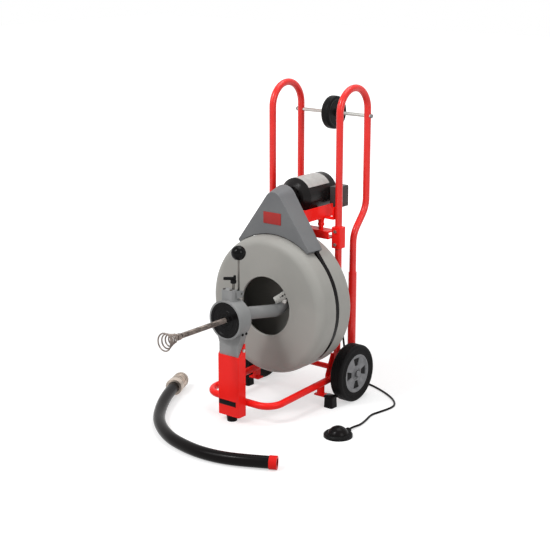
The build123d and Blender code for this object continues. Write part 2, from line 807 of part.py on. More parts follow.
# Post brackets and the cross member under the motor plate
BRACKET_W = TUBE_D + 2 * BRACKET_WALL
BRACKET_FRONT_Y = POST_Y - TUBE_D / 2 - BRACKET_WALL
BRACKET_BOLT_LOW = BRACKET_LOW_Z + BRACKET_INSET
BRACKET_BOLT_HIGH = BRACKET_LOW_Z + BRACKET_H - BRACKET_INSET
with BuildPart() as post_brackets:
    for side in (-1, 1):
        with BuildSketch(Plane.XY.offset(BRACKET_LOW_Z)):
            with Locations((side * POST_X, POST_Y)):
                RectangleRounded(BRACKET_W, BRACKET_W, BRACKET_CORNER_R)
                Circle(TUBE_D / 2 + SEAT_GAP, mode=Mode.SUBTRACT)
        extrude(amount=BRACKET_H)
        with BuildSketch(front_plane(BRACKET_FRONT_Y)):
            with Locations((side * POST_X, BRACKET_BOLT_LOW), (side * POST_X, BRACKET_BOLT_HIGH)):
                Circle(BOLT_D / 2 + SEAT_GAP)
        extrude(amount=-BRACKET_WALL, mode=Mode.SUBTRACT)
keep("post_brackets", post_brackets)

CROSS_HALF = POST_X - TUBE_D / 2 - BRACKET_WALL
CROSS_REAR_Y = POST_Y + CROSS_TAIL
SCREW_Y = CROSS_FRONT_Y + CROSS_T + SCREW_BACK
with BuildPart() as cross_member:
    with BuildSketch(side_plane(-CROSS_HALF)):
        with BuildLine():
            Polyline(
                (CROSS_FRONT_Y, CROSS_LOW_Z),
                (CROSS_REAR_Y, CROSS_LOW_Z),
                (CROSS_REAR_Y, CROSS_LOW_Z + CROSS_T),
                (CROSS_FRONT_Y + CROSS_T, CROSS_LOW_Z + CROSS_T),
                (CROSS_FRONT_Y + CROSS_T, CROSS_LOW_Z + CROSS_H - CROSS_T),
                (CROSS_REAR_Y, CROSS_LOW_Z + CROSS_H - CROSS_T),
                (CROSS_REAR_Y, CROSS_LOW_Z + CROSS_H),
                (CROSS_FRONT_Y, CROSS_LOW_Z + CROSS_H),
                close=True,
            )
        make_face()
    extrude(amount=2 * CROSS_HALF)
    with BuildSketch(Plane.XY.offset(CROSS_LOW_Z + CROSS_H)):
        with Locations((-SCREW_X, SCREW_Y), (SCREW_X, SCREW_Y)):
            Circle(BOLT_D / 2 + SEAT_GAP)
    extrude(amount=-CROSS_T, mode=Mode.SUBTRACT)
keep("cross_member", cross_member)

with BuildPart() as tension_screws:
    for x in (-SCREW_X, SCREW_X):
        with BuildSketch(Plane.XY.offset(CROSS_LOW_Z + CROSS_T)):
            with Locations((x, SCREW_Y)):
                Circle(BOLT_D / 2)
        extrude(amount=PLATE_FLOOR_Z - CROSS_LOW_Z - CROSS_T)
        with BuildSketch(Plane.XY.offset(CROSS_LOW_Z + CROSS_H)):
            with Locations((x, SCREW_Y)):
                RegularPolygon(BOLT_HEAD / 2 + SCREW_NUT_LIP, 6)
        extrude(amount=SCREW_NUT_H)
keep("tension_screws", tension_screws)


# Motor plate: a tray with a front lip for the guard and an ear on each side that bolts to the post
PLATE_BOLT_X = PLATE_X - PLATE_T
with BuildPart() as motor_plate:
    with BuildSketch(Plane.XY.offset(PLATE_FLOOR_Z)):
        with Locations((0, (GUARD_REAR_Y + PLATE_REAR_Y) / 2)):
            Rectangle(2 * PLATE_HALF, PLATE_REAR_Y - GUARD_REAR_Y)
    extrude(amount=PLATE_TOP_Z - PLATE_FLOOR_Z)
    with BuildSketch(Plane.XY.offset(PLATE_FLOOR_Z + PLATE_T)):
        with Locations((0, (GUARD_REAR_Y + PLATE_T + PLATE_REAR_Y + PLATE_T) / 2)):
            Rectangle(2 * (PLATE_HALF - PLATE_T), PLATE_REAR_Y - GUARD_REAR_Y)
    extrude(amount=PLATE_TOP_Z, mode=Mode.SUBTRACT)
    for side in (-1, 1):
        with BuildSketch(Plane.XY.offset(PLATE_FLOOR_Z)):
            with Locations((side * (PLATE_HALF + PLATE_X - PLATE_T) / 2, POST_Y)):
                Rectangle(PLATE_X - PLATE_HALF + PLATE_T, PLATE_EAR_L)
        extrude(amount=PLATE_T)
        with BuildSketch(side_plane(side * PLATE_X)):
            with Locations((POST_Y, (PLATE_FLOOR_Z + PLATE_TOP_Z) / 2)):
                Rectangle(PLATE_EAR_L, PLATE_TOP_Z - PLATE_FLOOR_Z)
        extrude(amount=-side * PLATE_T)
    with BuildSketch(front_plane(GUARD_REAR_Y + PLATE_T)):
        with Locations((-TAB_X, TAB_Z), (TAB_X, TAB_Z)):
            Circle(SCREW_D / 2 + SEAT_GAP)
    extrude(amount=PLATE_T, mode=Mode.SUBTRACT)
    for side in (-1, 1):
        with BuildSketch(side_plane(side * PLATE_X)):
            with Locations((POST_Y, PLATE_BOLT_Z)):
                Circle(BOLT_D / 2 + SEAT_GAP)
        extrude(amount=-side * PLATE_T, mode=Mode.SUBTRACT)
keep("motor_plate", motor_plate)


# Motor: shell on feet with its windings, two end bells, bearings, rotor and pulley
FEET_LOW_Z = PLATE_FLOOR_Z + PLATE_T
FEET_TOP_Z = MOTOR_Z - MOTOR_R + MOTOR_FOOT_SINK
SHELL_FRONT_Y = MOTOR_FRONT_Y + BELL_L
SHELL_REAR_Y = MOTOR_REAR_Y - BELL_L
with BuildPart() as motor_shell:
    with BuildSketch(front_plane(SHELL_REAR_Y)):
        with Locations((0, MOTOR_Z)):
            Circle(MOTOR_R)
    extrude(amount=SHELL_REAR_Y - SHELL_FRONT_Y)
    for y in (SHELL_FRONT_Y + MOTOR_FOOT_FRONT, PLATE_REAR_Y - MOTOR_FOOT_REAR):
        with BuildSketch(front_plane(y)):
            with Locations((0, (FEET_LOW_Z + FEET_TOP_Z) / 2)):
                Rectangle(MOTOR_FOOT_W, FEET_TOP_Z - FEET_LOW_Z)
        extrude(amount=MOTOR_FOOT_L)
    with BuildSketch(side_plane(BOX_X)):
        with Locations((BOX_Y + BOX_L / 2 - BOX_SEAT_LEAD, MOTOR_Z)):
            Rectangle(BOX_SEAT_L, BOX_SEAT_H)
    extrude(amount=-BOX_SEAT_SINK)
    with BuildSketch(front_plane(SHELL_REAR_Y)):
        with Locations((0, MOTOR_Z)):
            Circle(MOTOR_R - MOTOR_WALL)
    extrude(amount=SHELL_REAR_Y - SHELL_FRONT_Y, mode=Mode.SUBTRACT)
    with BuildSketch(front_plane(SHELL_REAR_Y - STATOR_INSET)):
        with Locations((0, MOTOR_Z)):
            Circle(MOTOR_R - MOTOR_WALL / 2)
            Circle(STATOR_BORE_R, mode=Mode.SUBTRACT)
    extrude(amount=SHELL_REAR_Y - SHELL_FRONT_Y - 2 * STATOR_INSET)
keep("motor_shell", motor_shell)

BELL_HUB_R = MOTOR_BEARING_OD / 2 + BELL_HUB_T
for end, name, inner_y, outer_y, drop in (
    (-1, "motor_front_bell", SHELL_FRONT_Y, MOTOR_FRONT_Y, FRONT_BELL_DROP),
    (1, "motor_rear_bell", SHELL_REAR_Y, MOTOR_REAR_Y, 0.0),
):
    seat_y = outer_y - end * BELL_SEAT_T
    face_r = MOTOR_R - BELL_FACE_INSET - drop
    with BuildPart() as bell:
        add_ring(
            side_plane(0),
            MOTOR_AXIS,
            motor_profile(
                [
                    (inner_y, MOTOR_R),
                    (inner_y + end * BELL_RIM_L, MOTOR_R - drop),
                    (outer_y - end * BELL_LIP, MOTOR_R - BELL_SLOPE - drop),
                    (outer_y, face_r),
                    (outer_y, SHAFT_D / 2 + BELL_SHAFT_ROOM),
                    (seat_y, SHAFT_D / 2 + BELL_SHAFT_ROOM),
                    (seat_y, MOTOR_BEARING_OD / 2 + SEAT_GAP),
                    (seat_y - end * MOTOR_BEARING_W, MOTOR_BEARING_OD / 2 + SEAT_GAP),
                    (seat_y - end * MOTOR_BEARING_W, BELL_HUB_R),
                    (outer_y - end * BELL_FACE_T, BELL_HUB_R + BELL_HUB_SLOPE),
                    (outer_y - end * BELL_FACE_T, face_r),
                    (inner_y, MOTOR_R - BELL_WALL),
                ]
            ),
        )
        with BuildSketch(front_plane(outer_y)):
            with Locations((0, MOTOR_Z)):
                with PolarLocations((BELL_HUB_R + face_r) / 2, BELL_SLOTS):
                    SlotOverall(BELL_SLOT_L, BELL_SLOT_W, rotation=90)
        extrude(amount=end * MOTOR_BEARING_W, mode=Mode.SUBTRACT)
    keep(name, bell)

FRONT_BEARING_Y = MOTOR_FRONT_Y + BELL_SEAT_T
REAR_BEARING_Y = MOTOR_REAR_Y - BELL_SEAT_T - MOTOR_BEARING_W
with BuildPart() as motor_bearings:
    for start in (FRONT_BEARING_Y, REAR_BEARING_Y):
        with BuildSketch(front_plane(start)):
            with Locations((0, MOTOR_Z)):
                Circle(MOTOR_BEARING_OD / 2)
                Circle(SHAFT_D / 2 + RUN_GAP, mode=Mode.SUBTRACT)
        extrude(amount=-MOTOR_BEARING_W)
keep("motor_bearings", motor_bearings)

SHAFT_FRONT_Y = BELT_Y - GROOVE_W / 2 - SHAFT_PROUD
with BuildPart() as motor_rotor:
    with BuildSketch(front_plane(REAR_BEARING_Y + MOTOR_BEARING_W)):
        with Locations((0, MOTOR_Z)):
            Circle(SHAFT_D / 2)
    extrude(amount=REAR_BEARING_Y + MOTOR_BEARING_W - SHAFT_FRONT_Y)
    with BuildSketch(front_plane(SHELL_REAR_Y - STATOR_INSET)):
        with Locations((0, MOTOR_Z)):
            Circle(STATOR_BORE_R - BODY_GAP)
    extrude(amount=SHELL_REAR_Y - SHELL_FRONT_Y - 2 * STATOR_INSET)
keep("motor_rotor", motor_rotor)

groove_half = BELT_W / 2 + BODY_GAP
pulley_half = groove_half + PULLEY_FLANGE_T
with BuildPart() as motor_pulley:
    add_ring(
        side_plane(0),
        MOTOR_AXIS,
        motor_profile(
            [
                (BELT_Y - pulley_half, SHAFT_D / 2 + SEAT_GAP),
                (BELT_Y - pulley_half, PULLEY_R + PULLEY_LIP),
                (BELT_Y - groove_half, PULLEY_R + PULLEY_LIP),
                (BELT_Y - groove_half, PULLEY_GROOVE_R),
                (BELT_Y + groove_half, PULLEY_GROOVE_R),
                (BELT_Y + groove_half, PULLEY_R + PULLEY_LIP),
                (BELT_Y + pulley_half, PULLEY_R + PULLEY_LIP),
                (BELT_Y + pulley_half, PULLEY_BOSS_R),
                (BELT_Y + pulley_half + PULLEY_BOSS_L, PULLEY_BOSS_R),
                (BELT_Y + pulley_half + PULLEY_BOSS_L, SHAFT_D / 2 + SEAT_GAP),
            ]
        ),
    )
keep("motor_pulley", motor_pulley)


# Drive belt: one closed loop round the drum's groove and the motor pulley
with BuildPart() as drive_belt:
    for inset, mode in ((0.0, Mode.ADD), (BELT_T, Mode.SUBTRACT)):
        with BuildSketch(front_plane(BELT_Y)):
            with Locations((0, DRUM_Z)):
                Circle(DRUM_R - inset)
            with Locations((0, MOTOR_Z)):
                Circle(PULLEY_R - inset)
            make_hull()
        extrude(amount=BELT_W / 2, both=True, mode=mode)
keep("drive_belt", drive_belt)


# Belt guard: a drafted cover with a rounded top, open to the rear and below
def draw_guard(shrink, flare):
    """Draws the guard's A-shaped outline in the open sketch, drawn in all round and with a wider top."""
    top_r = GUARD_TOP_R - shrink + flare
    half = GUARD_HALF - shrink
    foot = (half, GUARD_FOOT_Z)
    low = (half - GUARD_HEEL, GUARD_FOOT_Z - GUARD_HEEL)
    reach = math.hypot(half, GUARD_FOOT_Z - MOTOR_Z)
    lean = math.atan2(GUARD_FOOT_Z - MOTOR_Z, half) + math.acos(top_r / reach)
    touch = (top_r * math.cos(lean), MOTOR_Z + top_r * math.sin(lean))
    with BuildLine() as outline:
        Polyline((-low[0], low[1]), low, foot, touch)
        ThreePointArc(touch, (0, MOTOR_Z + top_r), (-touch[0], touch[1]))
        Polyline((-touch[0], touch[1]), (-half, GUARD_FOOT_Z), (-low[0], low[1]))
    make_face(outline.edges())


def add_guard_form(front_y, rear_y, wall, mode):
    """Lofts the guard's form from front to rear, drawn in by a wall."""
    with BuildSketch(front_plane(front_y)) as front:
        draw_guard(GUARD_DRAFT + wall, 0.0)
    with BuildSketch(front_plane(rear_y)) as rear:
        draw_guard(wall, GUARD_TOP_FLARE)
    loft([front.sketch, rear.sketch], ruled=True, mode=mode)


with BuildPart() as belt_guard:
    add_guard_form(GUARD_FRONT_Y, GUARD_REAR_Y, 0.0, Mode.ADD)
    front_rim = belt_guard.faces().sort_by(Axis.Y)[0].outer_wire().edges()
    fillet(front_rim.sort_by(Axis.Z)[1:], GUARD_EDGE_R)
    add_guard_form(GUARD_FRONT_Y + GUARD_WALL, GUARD_REAR_Y, GUARD_WALL, Mode.SUBTRACT)
    for x in (-TAB_X, TAB_X):
        with BuildSketch(front_plane(GUARD_REAR_Y)):
            draw_guard(GUARD_WALL / 2, GUARD_TOP_FLARE)
            with Locations((x, TAB_Z)):
                Rectangle(TAB_W, TAB_H, mode=Mode.INTERSECT)
            with Locations((x, TAB_Z)):
                Circle(SCREW_D / 2 + SEAT_GAP, mode=Mode.SUBTRACT)
        extrude(amount=TAB_T)
    with BuildSketch(front_plane(GUARD_REAR_Y)):
        with Locations((0, DRUM_Z)):
            Circle(GUARD_ARC_R)
    extrude(amount=GUARD_REAR_Y - GUARD_FRONT_Y, mode=Mode.SUBTRACT)
    with BuildSketch(front_plane(BELT_Y)):
        with Locations((0, DRUM_Z)):
            Circle(DRUM_R + BELT_ROOM)
        with Locations((0, MOTOR_Z)):
            Circle(PULLEY_R + BELT_ROOM)
        make_hull()
    extrude(amount=BELT_W / 2 + BELT_ROOM, both=True, mode=Mode.SUBTRACT)
keep("belt_guard", belt_guard)


# Drum halves: one revolved shell each, meeting in the belt groove
GROOVE_FRONT_Y = BELT_Y - GROOVE_W / 2
GROOVE_REAR_Y = BELT_Y + GROOVE_W / 2
SHELL_R = DRUM_R - DRUM_WALL
GROOVE_FLOOR_R = GROOVE_R - DRUM_WALL


def add_drum_shell(outline, rounded):
    """Revolves a drum half from (y, radius) points, rounding the corners with the given indexes."""
    with BuildSketch(side_plane(0)) as section:
        with BuildLine():
            Polyline(*drum_profile(outline), close=True)
        make_face()
        for index, radius in rounded:
            corner = Vector(*drum_profile([outline[index]])[0], 0)
            nearest = section.vertices().sort_by_distance(corner)[0]
            fillet(nearest, radius)
    revolve(section.sketch, axis=DRUM_AXIS)


with BuildPart() as drum_front:
    add_drum_shell(
        [
            (DRUM_FRONT_Y, MOUTH_R),
            (DRUM_FRONT_Y, DRUM_R),
            (GROOVE_FRONT_Y, DRUM_R),
            (GROOVE_FRONT_Y, GROOVE_R),
            (BELT_Y, GROOVE_R),
            (BELT_Y, GROOVE_FLOOR_R),
            (GROOVE_FRONT_Y - DRUM_WALL, GROOVE_FLOOR_R),
            (GROOVE_FRONT_Y - DRUM_WALL, SHELL_R),
            (DRUM_FRONT_Y + DRUM_WALL, SHELL_R),
            (DRUM_FRONT_Y + DRUM_WALL, MOUTH_R + DRUM_WALL),
            (DRUM_FRONT_Y + MOUTH_LIP, MOUTH_R + DRUM_WALL),
            (DRUM_FRONT_Y + MOUTH_LIP, MOUTH_R),
        ],
        [(0, 0.75 * DRUM_WALL), (1, DRUM_SHOULDER_R), (8, DRUM_SHOULDER_R - DRUM_WALL)],
    )
keep("drum_front", drum_front)

with BuildPart() as drum_rear:
    add_drum_shell(
        [
            (BELT_Y, GROOVE_R),
            (GROOVE_REAR_Y, GROOVE_R),
            (GROOVE_REAR_Y, DRUM_R),
            (DRUM_REAR_Y, DRUM_R),
            (DRUM_REAR_Y, SPINDLE_D / 2 + SEAT_GAP),
            (DRUM_REAR_Y - DRUM_WALL, SPINDLE_D / 2 + SEAT_GAP),
            (DRUM_REAR_Y - DRUM_WALL, SHELL_R),
            (GROOVE_REAR_Y + DRUM_WALL, SHELL_R),
            (GROOVE_REAR_Y + DRUM_WALL, GROOVE_FLOOR_R),
            (BELT_Y, GROOVE_FLOOR_R),
        ],
        [(3, DRUM_REAR_R), (6, DRUM_REAR_R - DRUM_WALL)],
    )
keep("drum_rear", drum_rear)

# Spindle: a bolted flange inside the back wall, a collar behind it and a shaft through the bearings
FLANGE_FRONT_Y = DRUM_REAR_Y - DRUM_WALL - SPINDLE_FLANGE_T
SPINDLE_REAR_Y = SUPPORT_Y + SUPPORT_T
COLLAR_REAR_Y = BLOCK_Y - BODY_GAP
with BuildPart() as drum_spindle:
    for rear_y, front_y, radius in (
        (DRUM_REAR_Y - DRUM_WALL, FLANGE_FRONT_Y, SPINDLE_FLANGE_R),
        (SPINDLE_REAR_Y, FLANGE_FRONT_Y, SPINDLE_D / 2),
        (COLLAR_REAR_Y, DRUM_REAR_Y, SPINDLE_D / 2 + COLLAR_T),
    ):
        with BuildSketch(front_plane(rear_y)):
            with Locations((0, DRUM_Z)):
                Circle(radius)
        extrude(amount=rear_y - front_y)
    with BuildSketch(front_plane(FLANGE_FRONT_Y)):
        with Locations((0, DRUM_Z)):
            with PolarLocations(SPINDLE_FLANGE_R - BOLT_HEAD, FLANGE_BOLTS):
                RegularPolygon(BOLT_HEAD / 2, 6)
    extrude(amount=BOLT_HEAD_H)
keep("drum_spindle", drum_spindle)


# Distributor tube: along the drum's axis, out to one side, then up to its clamp
GUIDE_FRONT_Y = FEED_BACK_Y - FEED_BACK_T - GUIDE_NOSE
GUIDE_END_Y = GUIDE_TURN_Y + GUIDE_SETBACK
GUIDE_END_Z = DRUM_Z + GUIDE_RISE
with BuildPart() as distributor_tube:
    add_tube(
        [
            (0, GUIDE_FRONT_Y, DRUM_Z),
            (0, GUIDE_TURN_Y, DRUM_Z),
            (GUIDE_REACH, GUIDE_END_Y, DRUM_Z),
            (GUIDE_REACH, GUIDE_END_Y, GUIDE_END_Z),
        ],
        [GUIDE_BEND_R, GUIDE_BEND_R],
        GUIDE_D,
        GUIDE_D - 2 * GUIDE_WALL,
    )
keep_turned("distributor_tube", distributor_tube)

# Clamp: a band round the tube's end and a slotted strap on a foot against the drum's front wall
STRAP_FRONT_Y = DRUM_FRONT_Y + MOUTH_LIP + BODY_GAP
STRAP_REAR_Y = STRAP_FRONT_Y + STRAP_T
BAND_BORE_R = GUIDE_D / 2 + SEAT_GAP
BAND_Z = GUIDE_END_Z - CLAMP_H - CLAMP_T
strap_angle = math.degrees(math.atan2(GUIDE_RISE, GUIDE_REACH))
strap_inner_r = math.hypot(GUIDE_REACH, GUIDE_RISE) - STRAP_REACH
strap_foot_r = MOUTH_R + DRUM_WALL + BODY_GAP + STRAP_FOOT_L / 2


def drum_place(radius):
    """Place on an upright plane at a radius from the drum's axis, along the strap."""
    turn = math.radians(strap_angle)
    return (radius * math.cos(turn), DRUM_Z + radius * math.sin(turn))


with BuildPart() as tube_clamp:
    with BuildSketch(Plane.XY.offset(BAND_Z)):
        with Locations((GUIDE_REACH, GUIDE_END_Y)):
            Circle(BAND_BORE_R + CLAMP_T)
        with Locations((GUIDE_REACH, (GUIDE_END_Y + STRAP_FRONT_Y) / 2)):
            Rectangle(CLAMP_H, GUIDE_END_Y - STRAP_FRONT_Y)
        with Locations((GUIDE_REACH, GUIDE_END_Y)):
            Circle(BAND_BORE_R, mode=Mode.SUBTRACT)
    extrude(amount=CLAMP_H)
    strap_outer_r = strap_foot_r + STRAP_FOOT_L / 2
    with BuildSketch(front_plane(STRAP_REAR_Y)):
        with Locations(drum_place((strap_inner_r + strap_outer_r) / 2)):
            Rectangle(strap_outer_r - strap_inner_r, STRAP_W, rotation=strap_angle)
        for slot in range(STRAP_SLOTS):
            with Locations(drum_place(MOUTH_R - STRAP_SLOT_L / 2 - slot * STRAP_SLOT_STEP)):
                SlotOverall(STRAP_SLOT_L, STRAP_SLOT_W, rotation=strap_angle, mode=Mode.SUBTRACT)
    extrude(amount=STRAP_T)
    with BuildSketch(front_plane(STRAP_FRONT_Y)):
        with Locations(drum_place(strap_foot_r)):
            Rectangle(STRAP_FOOT_L, STRAP_W, rotation=strap_angle)
    extrude(amount=STRAP_FRONT_Y - DRUM_FRONT_Y - DRUM_WALL)
keep_turned("tube_clamp", tube_clamp)


# Wound cable: it runs through the distributor tube, swings out to the drum's wall and winds there
HALF_TURN = math.pi
QUARTER_TURN = math.pi / 2
lead_z = GUIDE_RISE + CABLE_D
lead_r = (WIND_R**2 - GUIDE_REACH**2 - lead_z**2) / (2 * (WIND_R - GUIDE_REACH))
lead_x = GUIDE_REACH - lead_r
lead_turn = math.atan2(lead_z, lead_x)
climb = WIND_PITCH / (2 * math.pi)
CABLE_REAR_Y = GUIDE_FRONT_Y + CABLE_D / 8

wind_places = []
wind_directions = []
for turn in (0.0, lead_turn / 2):
    wind_places.append(
        Vector(lead_x + lead_r * math.cos(turn), GUIDE_END_Y, DRUM_Z + lead_z + lead_r * math.sin(turn))
    )
    wind_directions.append(Vector(-math.sin(turn), 0, math.cos(turn)))
for quarter in range(4 * WIND_TURNS + 1):
    turn = lead_turn + quarter * QUARTER_TURN
    radius = WIND_R - CABLE_D / 16 * (quarter == 4 * WIND_TURNS)
    wind_places.append(
        Vector(
            radius * math.cos(turn),
            WIND_START_Y + climb * quarter * QUARTER_TURN,
            DRUM_Z + radius * math.sin(turn),
        )
    )
    wind_directions.append(Vector(-radius * math.sin(turn), climb, radius * math.cos(turn)).normalized())
WIND_END_Y = WIND_START_Y + WIND_PITCH * WIND_TURNS
wind_places.append(wind_places[-1] + wind_directions[-1] * CABLE_D)
wind_directions.append(wind_directions[-1])

with BuildPart() as cable_winding:
    with BuildLine() as winding:
        FilletPolyline(
            (0, CABLE_REAR_Y, DRUM_Z),
            (0, GUIDE_TURN_Y, DRUM_Z),
            (GUIDE_REACH, GUIDE_END_Y, DRUM_Z),
            wind_places[0],
            radius=GUIDE_BEND_R,
        )
        add_biarcs(wind_places[:-1], wind_directions[:-1])
        Line(wind_places[-2], wind_places[-1])
    with BuildSketch(Plane(origin=winding.line @ 0, z_dir=winding.line % 0)):
        Circle(CABLE_D / 2)
    sweep()
    with BuildSketch(front_plane(WIND_END_Y + CABLE_D / 2)):
        with Locations((0, DRUM_Z)):
            Circle(WIND_CORE_R)
            Circle(WIND_CORE_R - WIND_CORE_T, mode=Mode.SUBTRACT)
    extrude(amount=WIND_END_Y - WIND_START_Y + CABLE_D)
keep_turned("cable_winding", cable_winding)
winding_path = winding.wire()
print("winding: gap to itself", least_gap(winding_path, CABLE_D / 4, WIND_R, CABLE_D))
winding_volume = cable_winding.part.solids().sort_by(SortBy.VOLUME)[0].volume
print(
    "winding: volume over section times length",
    round(winding_volume / (winding_path.length * math.pi * CABLE_D**2 / 4), 4),
)


# Feed housing: cast ring on a saddle, with a top boss and ears for the lever
saddle_half = COLUMN_W / 2 - COLUMN_SHEET - SEAT_GAP
SADDLE_REAR_Y = COLUMN_REAR_Y - SADDLE_INSET
SADDLE_FRONT_Y = COLUMN_FRONT_Y + COLUMN_SHEET + SEAT_GAP
BUSH_BORE_R = GUIDE_D / 2 + RUN_GAP
BUSH_R = BUSH_BORE_R + BUSH_T
BOSS_LOW_Z = DRUM_Z + FEED_R - BOSS_SINK
with BuildPart() as feed_housing:
    with BuildSketch(front_plane(FEED_BACK_Y)):
        with Locations((0, DRUM_Z)):
            Circle(FEED_R)
    extrude(amount=FEED_BACK_Y - FEED_FRONT_Y - FACE_PROUD)
    with BuildSketch(front_plane(SADDLE_REAR_Y)):
        with BuildLine():
            Polyline(
                (-saddle_half, SADDLE_LOW_Z),
                (saddle_half, SADDLE_LOW_Z),
                (saddle_half, COLUMN_EAR_Z),
                (saddle_half + SADDLE_FLARE, DRUM_Z - FEED_R / 2),
                (-saddle_half - SADDLE_FLARE, DRUM_Z - FEED_R / 2),
                (-saddle_half, COLUMN_EAR_Z),
                close=True,
            )
        make_face()
    extrude(amount=SADDLE_REAR_Y - SADDLE_FRONT_Y)
    with BuildSketch(Plane.XY.offset(BOSS_LOW_Z)):
        with Locations((0, (BOSS_FRONT_Y + BOSS_REAR_Y) / 2)):
            RectangleRounded(BOSS_W, BOSS_REAR_Y - BOSS_FRONT_Y, BOSS_CORNER_R)
    extrude(amount=BOSS_TOP_Z - BOSS_LOW_Z)
    for x in (LEVER_X - EAR_GAP / 2 - EAR_T, LEVER_X + EAR_GAP / 2):
        with BuildSketch(side_plane(x)):
            with Locations((LEVER_Y, LEVER_Z)):
                Circle(EAR_R)
            with Locations(((LEVER_Y + BOSS_REAR_Y - EAR_R) / 2, LEVER_Z)):
                Rectangle(LEVER_Y - BOSS_REAR_Y + EAR_R, 2 * EAR_R)
        extrude(amount=EAR_T)
    with BuildSketch(side_plane(LEVER_X)):
        with Locations((LEVER_Y, LEVER_Z)):
            Circle(TRUNNION_D / 2 + RUN_GAP)
    extrude(amount=EAR_GAP + EAR_T, both=True, mode=Mode.SUBTRACT)
    for start_y, end_y, radius in (
        (FEED_BACK_Y - FEED_BACK_T, FEED_FRONT_Y, FEED_BORE_R),
        (FEED_FACE_BACK_Y, FEED_FRONT_Y, FACE_R + SEAT_GAP),
        (FEED_BACK_Y, FEED_FRONT_Y, BUSH_R + SEAT_GAP),
    ):
        with BuildSketch(front_plane(start_y)):
            with Locations((0, DRUM_Z)):
                Circle(radius)
        extrude(amount=start_y - end_y, mode=Mode.SUBTRACT)
    with BuildSketch(Plane.XY.offset(BOSS_TOP_Z)):
        with Locations((SELECTOR_X, SELECTOR_Y)):
            Circle(STEM_D / 2 + RUN_GAP)
        with Locations(*[(x, BOSS_BOLT_Y) for x in BOSS_BOLT_X]):
            Circle(SCREW_D / 2 + SEAT_GAP)
    extrude(amount=-STEM_SINK, mode=Mode.SUBTRACT)
    with BuildSketch(side_plane(0)):
        with Locations((COLUMN_BOLT_Y, COLUMN_BOLT_Z)):
            Circle(BOLT_D / 2 + SEAT_GAP)
    extrude(amount=COLUMN_W, both=True, mode=Mode.SUBTRACT)
keep("feed_housing", feed_housing)


# Ringed front face with the feed rollers' pins, and the bush that the distributor tube turns in
ROLLER_RING_R = CABLE_D / 2 + ROLLER_ROOM + ROLLER_R
ROLLER_Y = (FEED_FACE_BACK_Y + FEED_BACK_Y - FEED_BACK_T) / 2


def roller_plane(index, along):
    """Plane across a feed roller's pin, which leans so that the rollers screw the cable along."""
    turn = QUARTER_TURN + index * 2 * math.pi / ROLLERS
    lean = math.radians(ROLLER_TILT)
    radial = Vector(math.cos(turn), 0, math.sin(turn))
    around = Vector(-math.sin(turn), 0, math.cos(turn))
    axis = Vector(0, -math.cos(lean), 0) + around * math.sin(lean)
    middle = Vector(0, ROLLER_Y, DRUM_Z) + radial * ROLLER_RING_R
    return Plane(origin=middle + axis * along, x_dir=radial, z_dir=axis)


face_depths = (FACE_STEP, 2 * FACE_STEP, 2 * FACE_STEP, FACE_STEP, FACE_STEP, FACE_NOSE_STEP)
face_rings = [(FEED_FRONT_Y + depth, radius) for depth, radius in zip(face_depths, FACE_RING_R)]
pin_length = ROLLER_Y - FEED_FACE_BACK_Y + ROLLER_L / 2 + FACE_T / 4
with BuildPart() as feed_face:
    add_ring(
        side_plane(0),
        DRUM_AXIS,
        drum_profile(
            [
                (FEED_FACE_BACK_Y, FACE_BORE_R),
                (FEED_FACE_BACK_Y, FACE_R),
                (FEED_FRONT_Y + FACE_STEP, FACE_R),
                *face_rings,
                (FEED_FRONT_Y + FACE_NOSE_STEP, FACE_NOSE_FOOT_R),
                (FEED_FRONT_Y, FACE_NOSE_R),
                (FEED_FRONT_Y, FACE_BORE_R),
            ]
        ),
    )
    for index in range(ROLLERS):
        with BuildSketch(roller_plane(index, -ROLLER_L / 2)):
            Circle(ROLLER_PIN_D / 2)
        extrude(amount=pin_length)
keep("feed_face", feed_face)

with BuildPart() as feed_bush:
    add_ring(
        side_plane(0),
        DRUM_AXIS,
        drum_profile(
            [
                (FEED_BACK_Y - FEED_BACK_T, BUSH_BORE_R),
                (FEED_BACK_Y - FEED_BACK_T, BUSH_R),
                (FEED_BACK_Y, BUSH_R),
                (FEED_BACK_Y, BUSH_R + BUSH_T),
                (FEED_BACK_Y + BUSH_T, BUSH_R + BUSH_T),
                (FEED_BACK_Y + BUSH_T, BUSH_BORE_R),
            ]
        ),
    )
keep("feed_bush", feed_bush)

for index in range(ROLLERS):
    with BuildPart() as feed_roller:
        with BuildSketch(roller_plane(index, -ROLLER_L / 2)):
            Circle(ROLLER_R)
            Circle(ROLLER_PIN_D / 2 + RUN_GAP, mode=Mode.SUBTRACT)
        extrude(amount=ROLLER_L)
        chamfer(feed_roller.edges().filter_by(GeomType.CIRCLE).sort_by(SortBy.RADIUS)[-2:], ROLLER_R / 10)
    keep(f"feed_roller_{index + 1}", feed_roller)


# Feed lever on trunnions between the ears, with its ball knob
with BuildPart() as feed_lever:
    for radius, half in ((LEVER_HUB_R, EAR_GAP / 2 - BODY_GAP), (TRUNNION_D / 2, EAR_GAP / 2 + EAR_T)):
        with BuildSketch(side_plane(LEVER_X)):
            with Locations((LEVER_Y, LEVER_Z)):
                Circle(radius)
        extrude(amount=half, both=True)
    with BuildSketch(Plane.XY.offset(LEVER_Z)):
        with Locations((LEVER_X, LEVER_Y)):
            Circle(LEVER_D / 2)
    extrude(amount=LEVER_L)
keep("feed_lever", feed_lever)

with BuildPart() as lever_knob:
    with Locations((LEVER_X, LEVER_Y, LEVER_Z + LEVER_L + KNOB_R - KNOB_FLAT)):
        Sphere(KNOB_R)
    with BuildSketch(Plane.XY.offset(LEVER_Z + LEVER_L)):
        with Locations((LEVER_X, LEVER_Y)):
            Circle(KNOB_R)
    extrude(amount=-KNOB_R, mode=Mode.SUBTRACT)
keep("lever_knob", lever_knob)

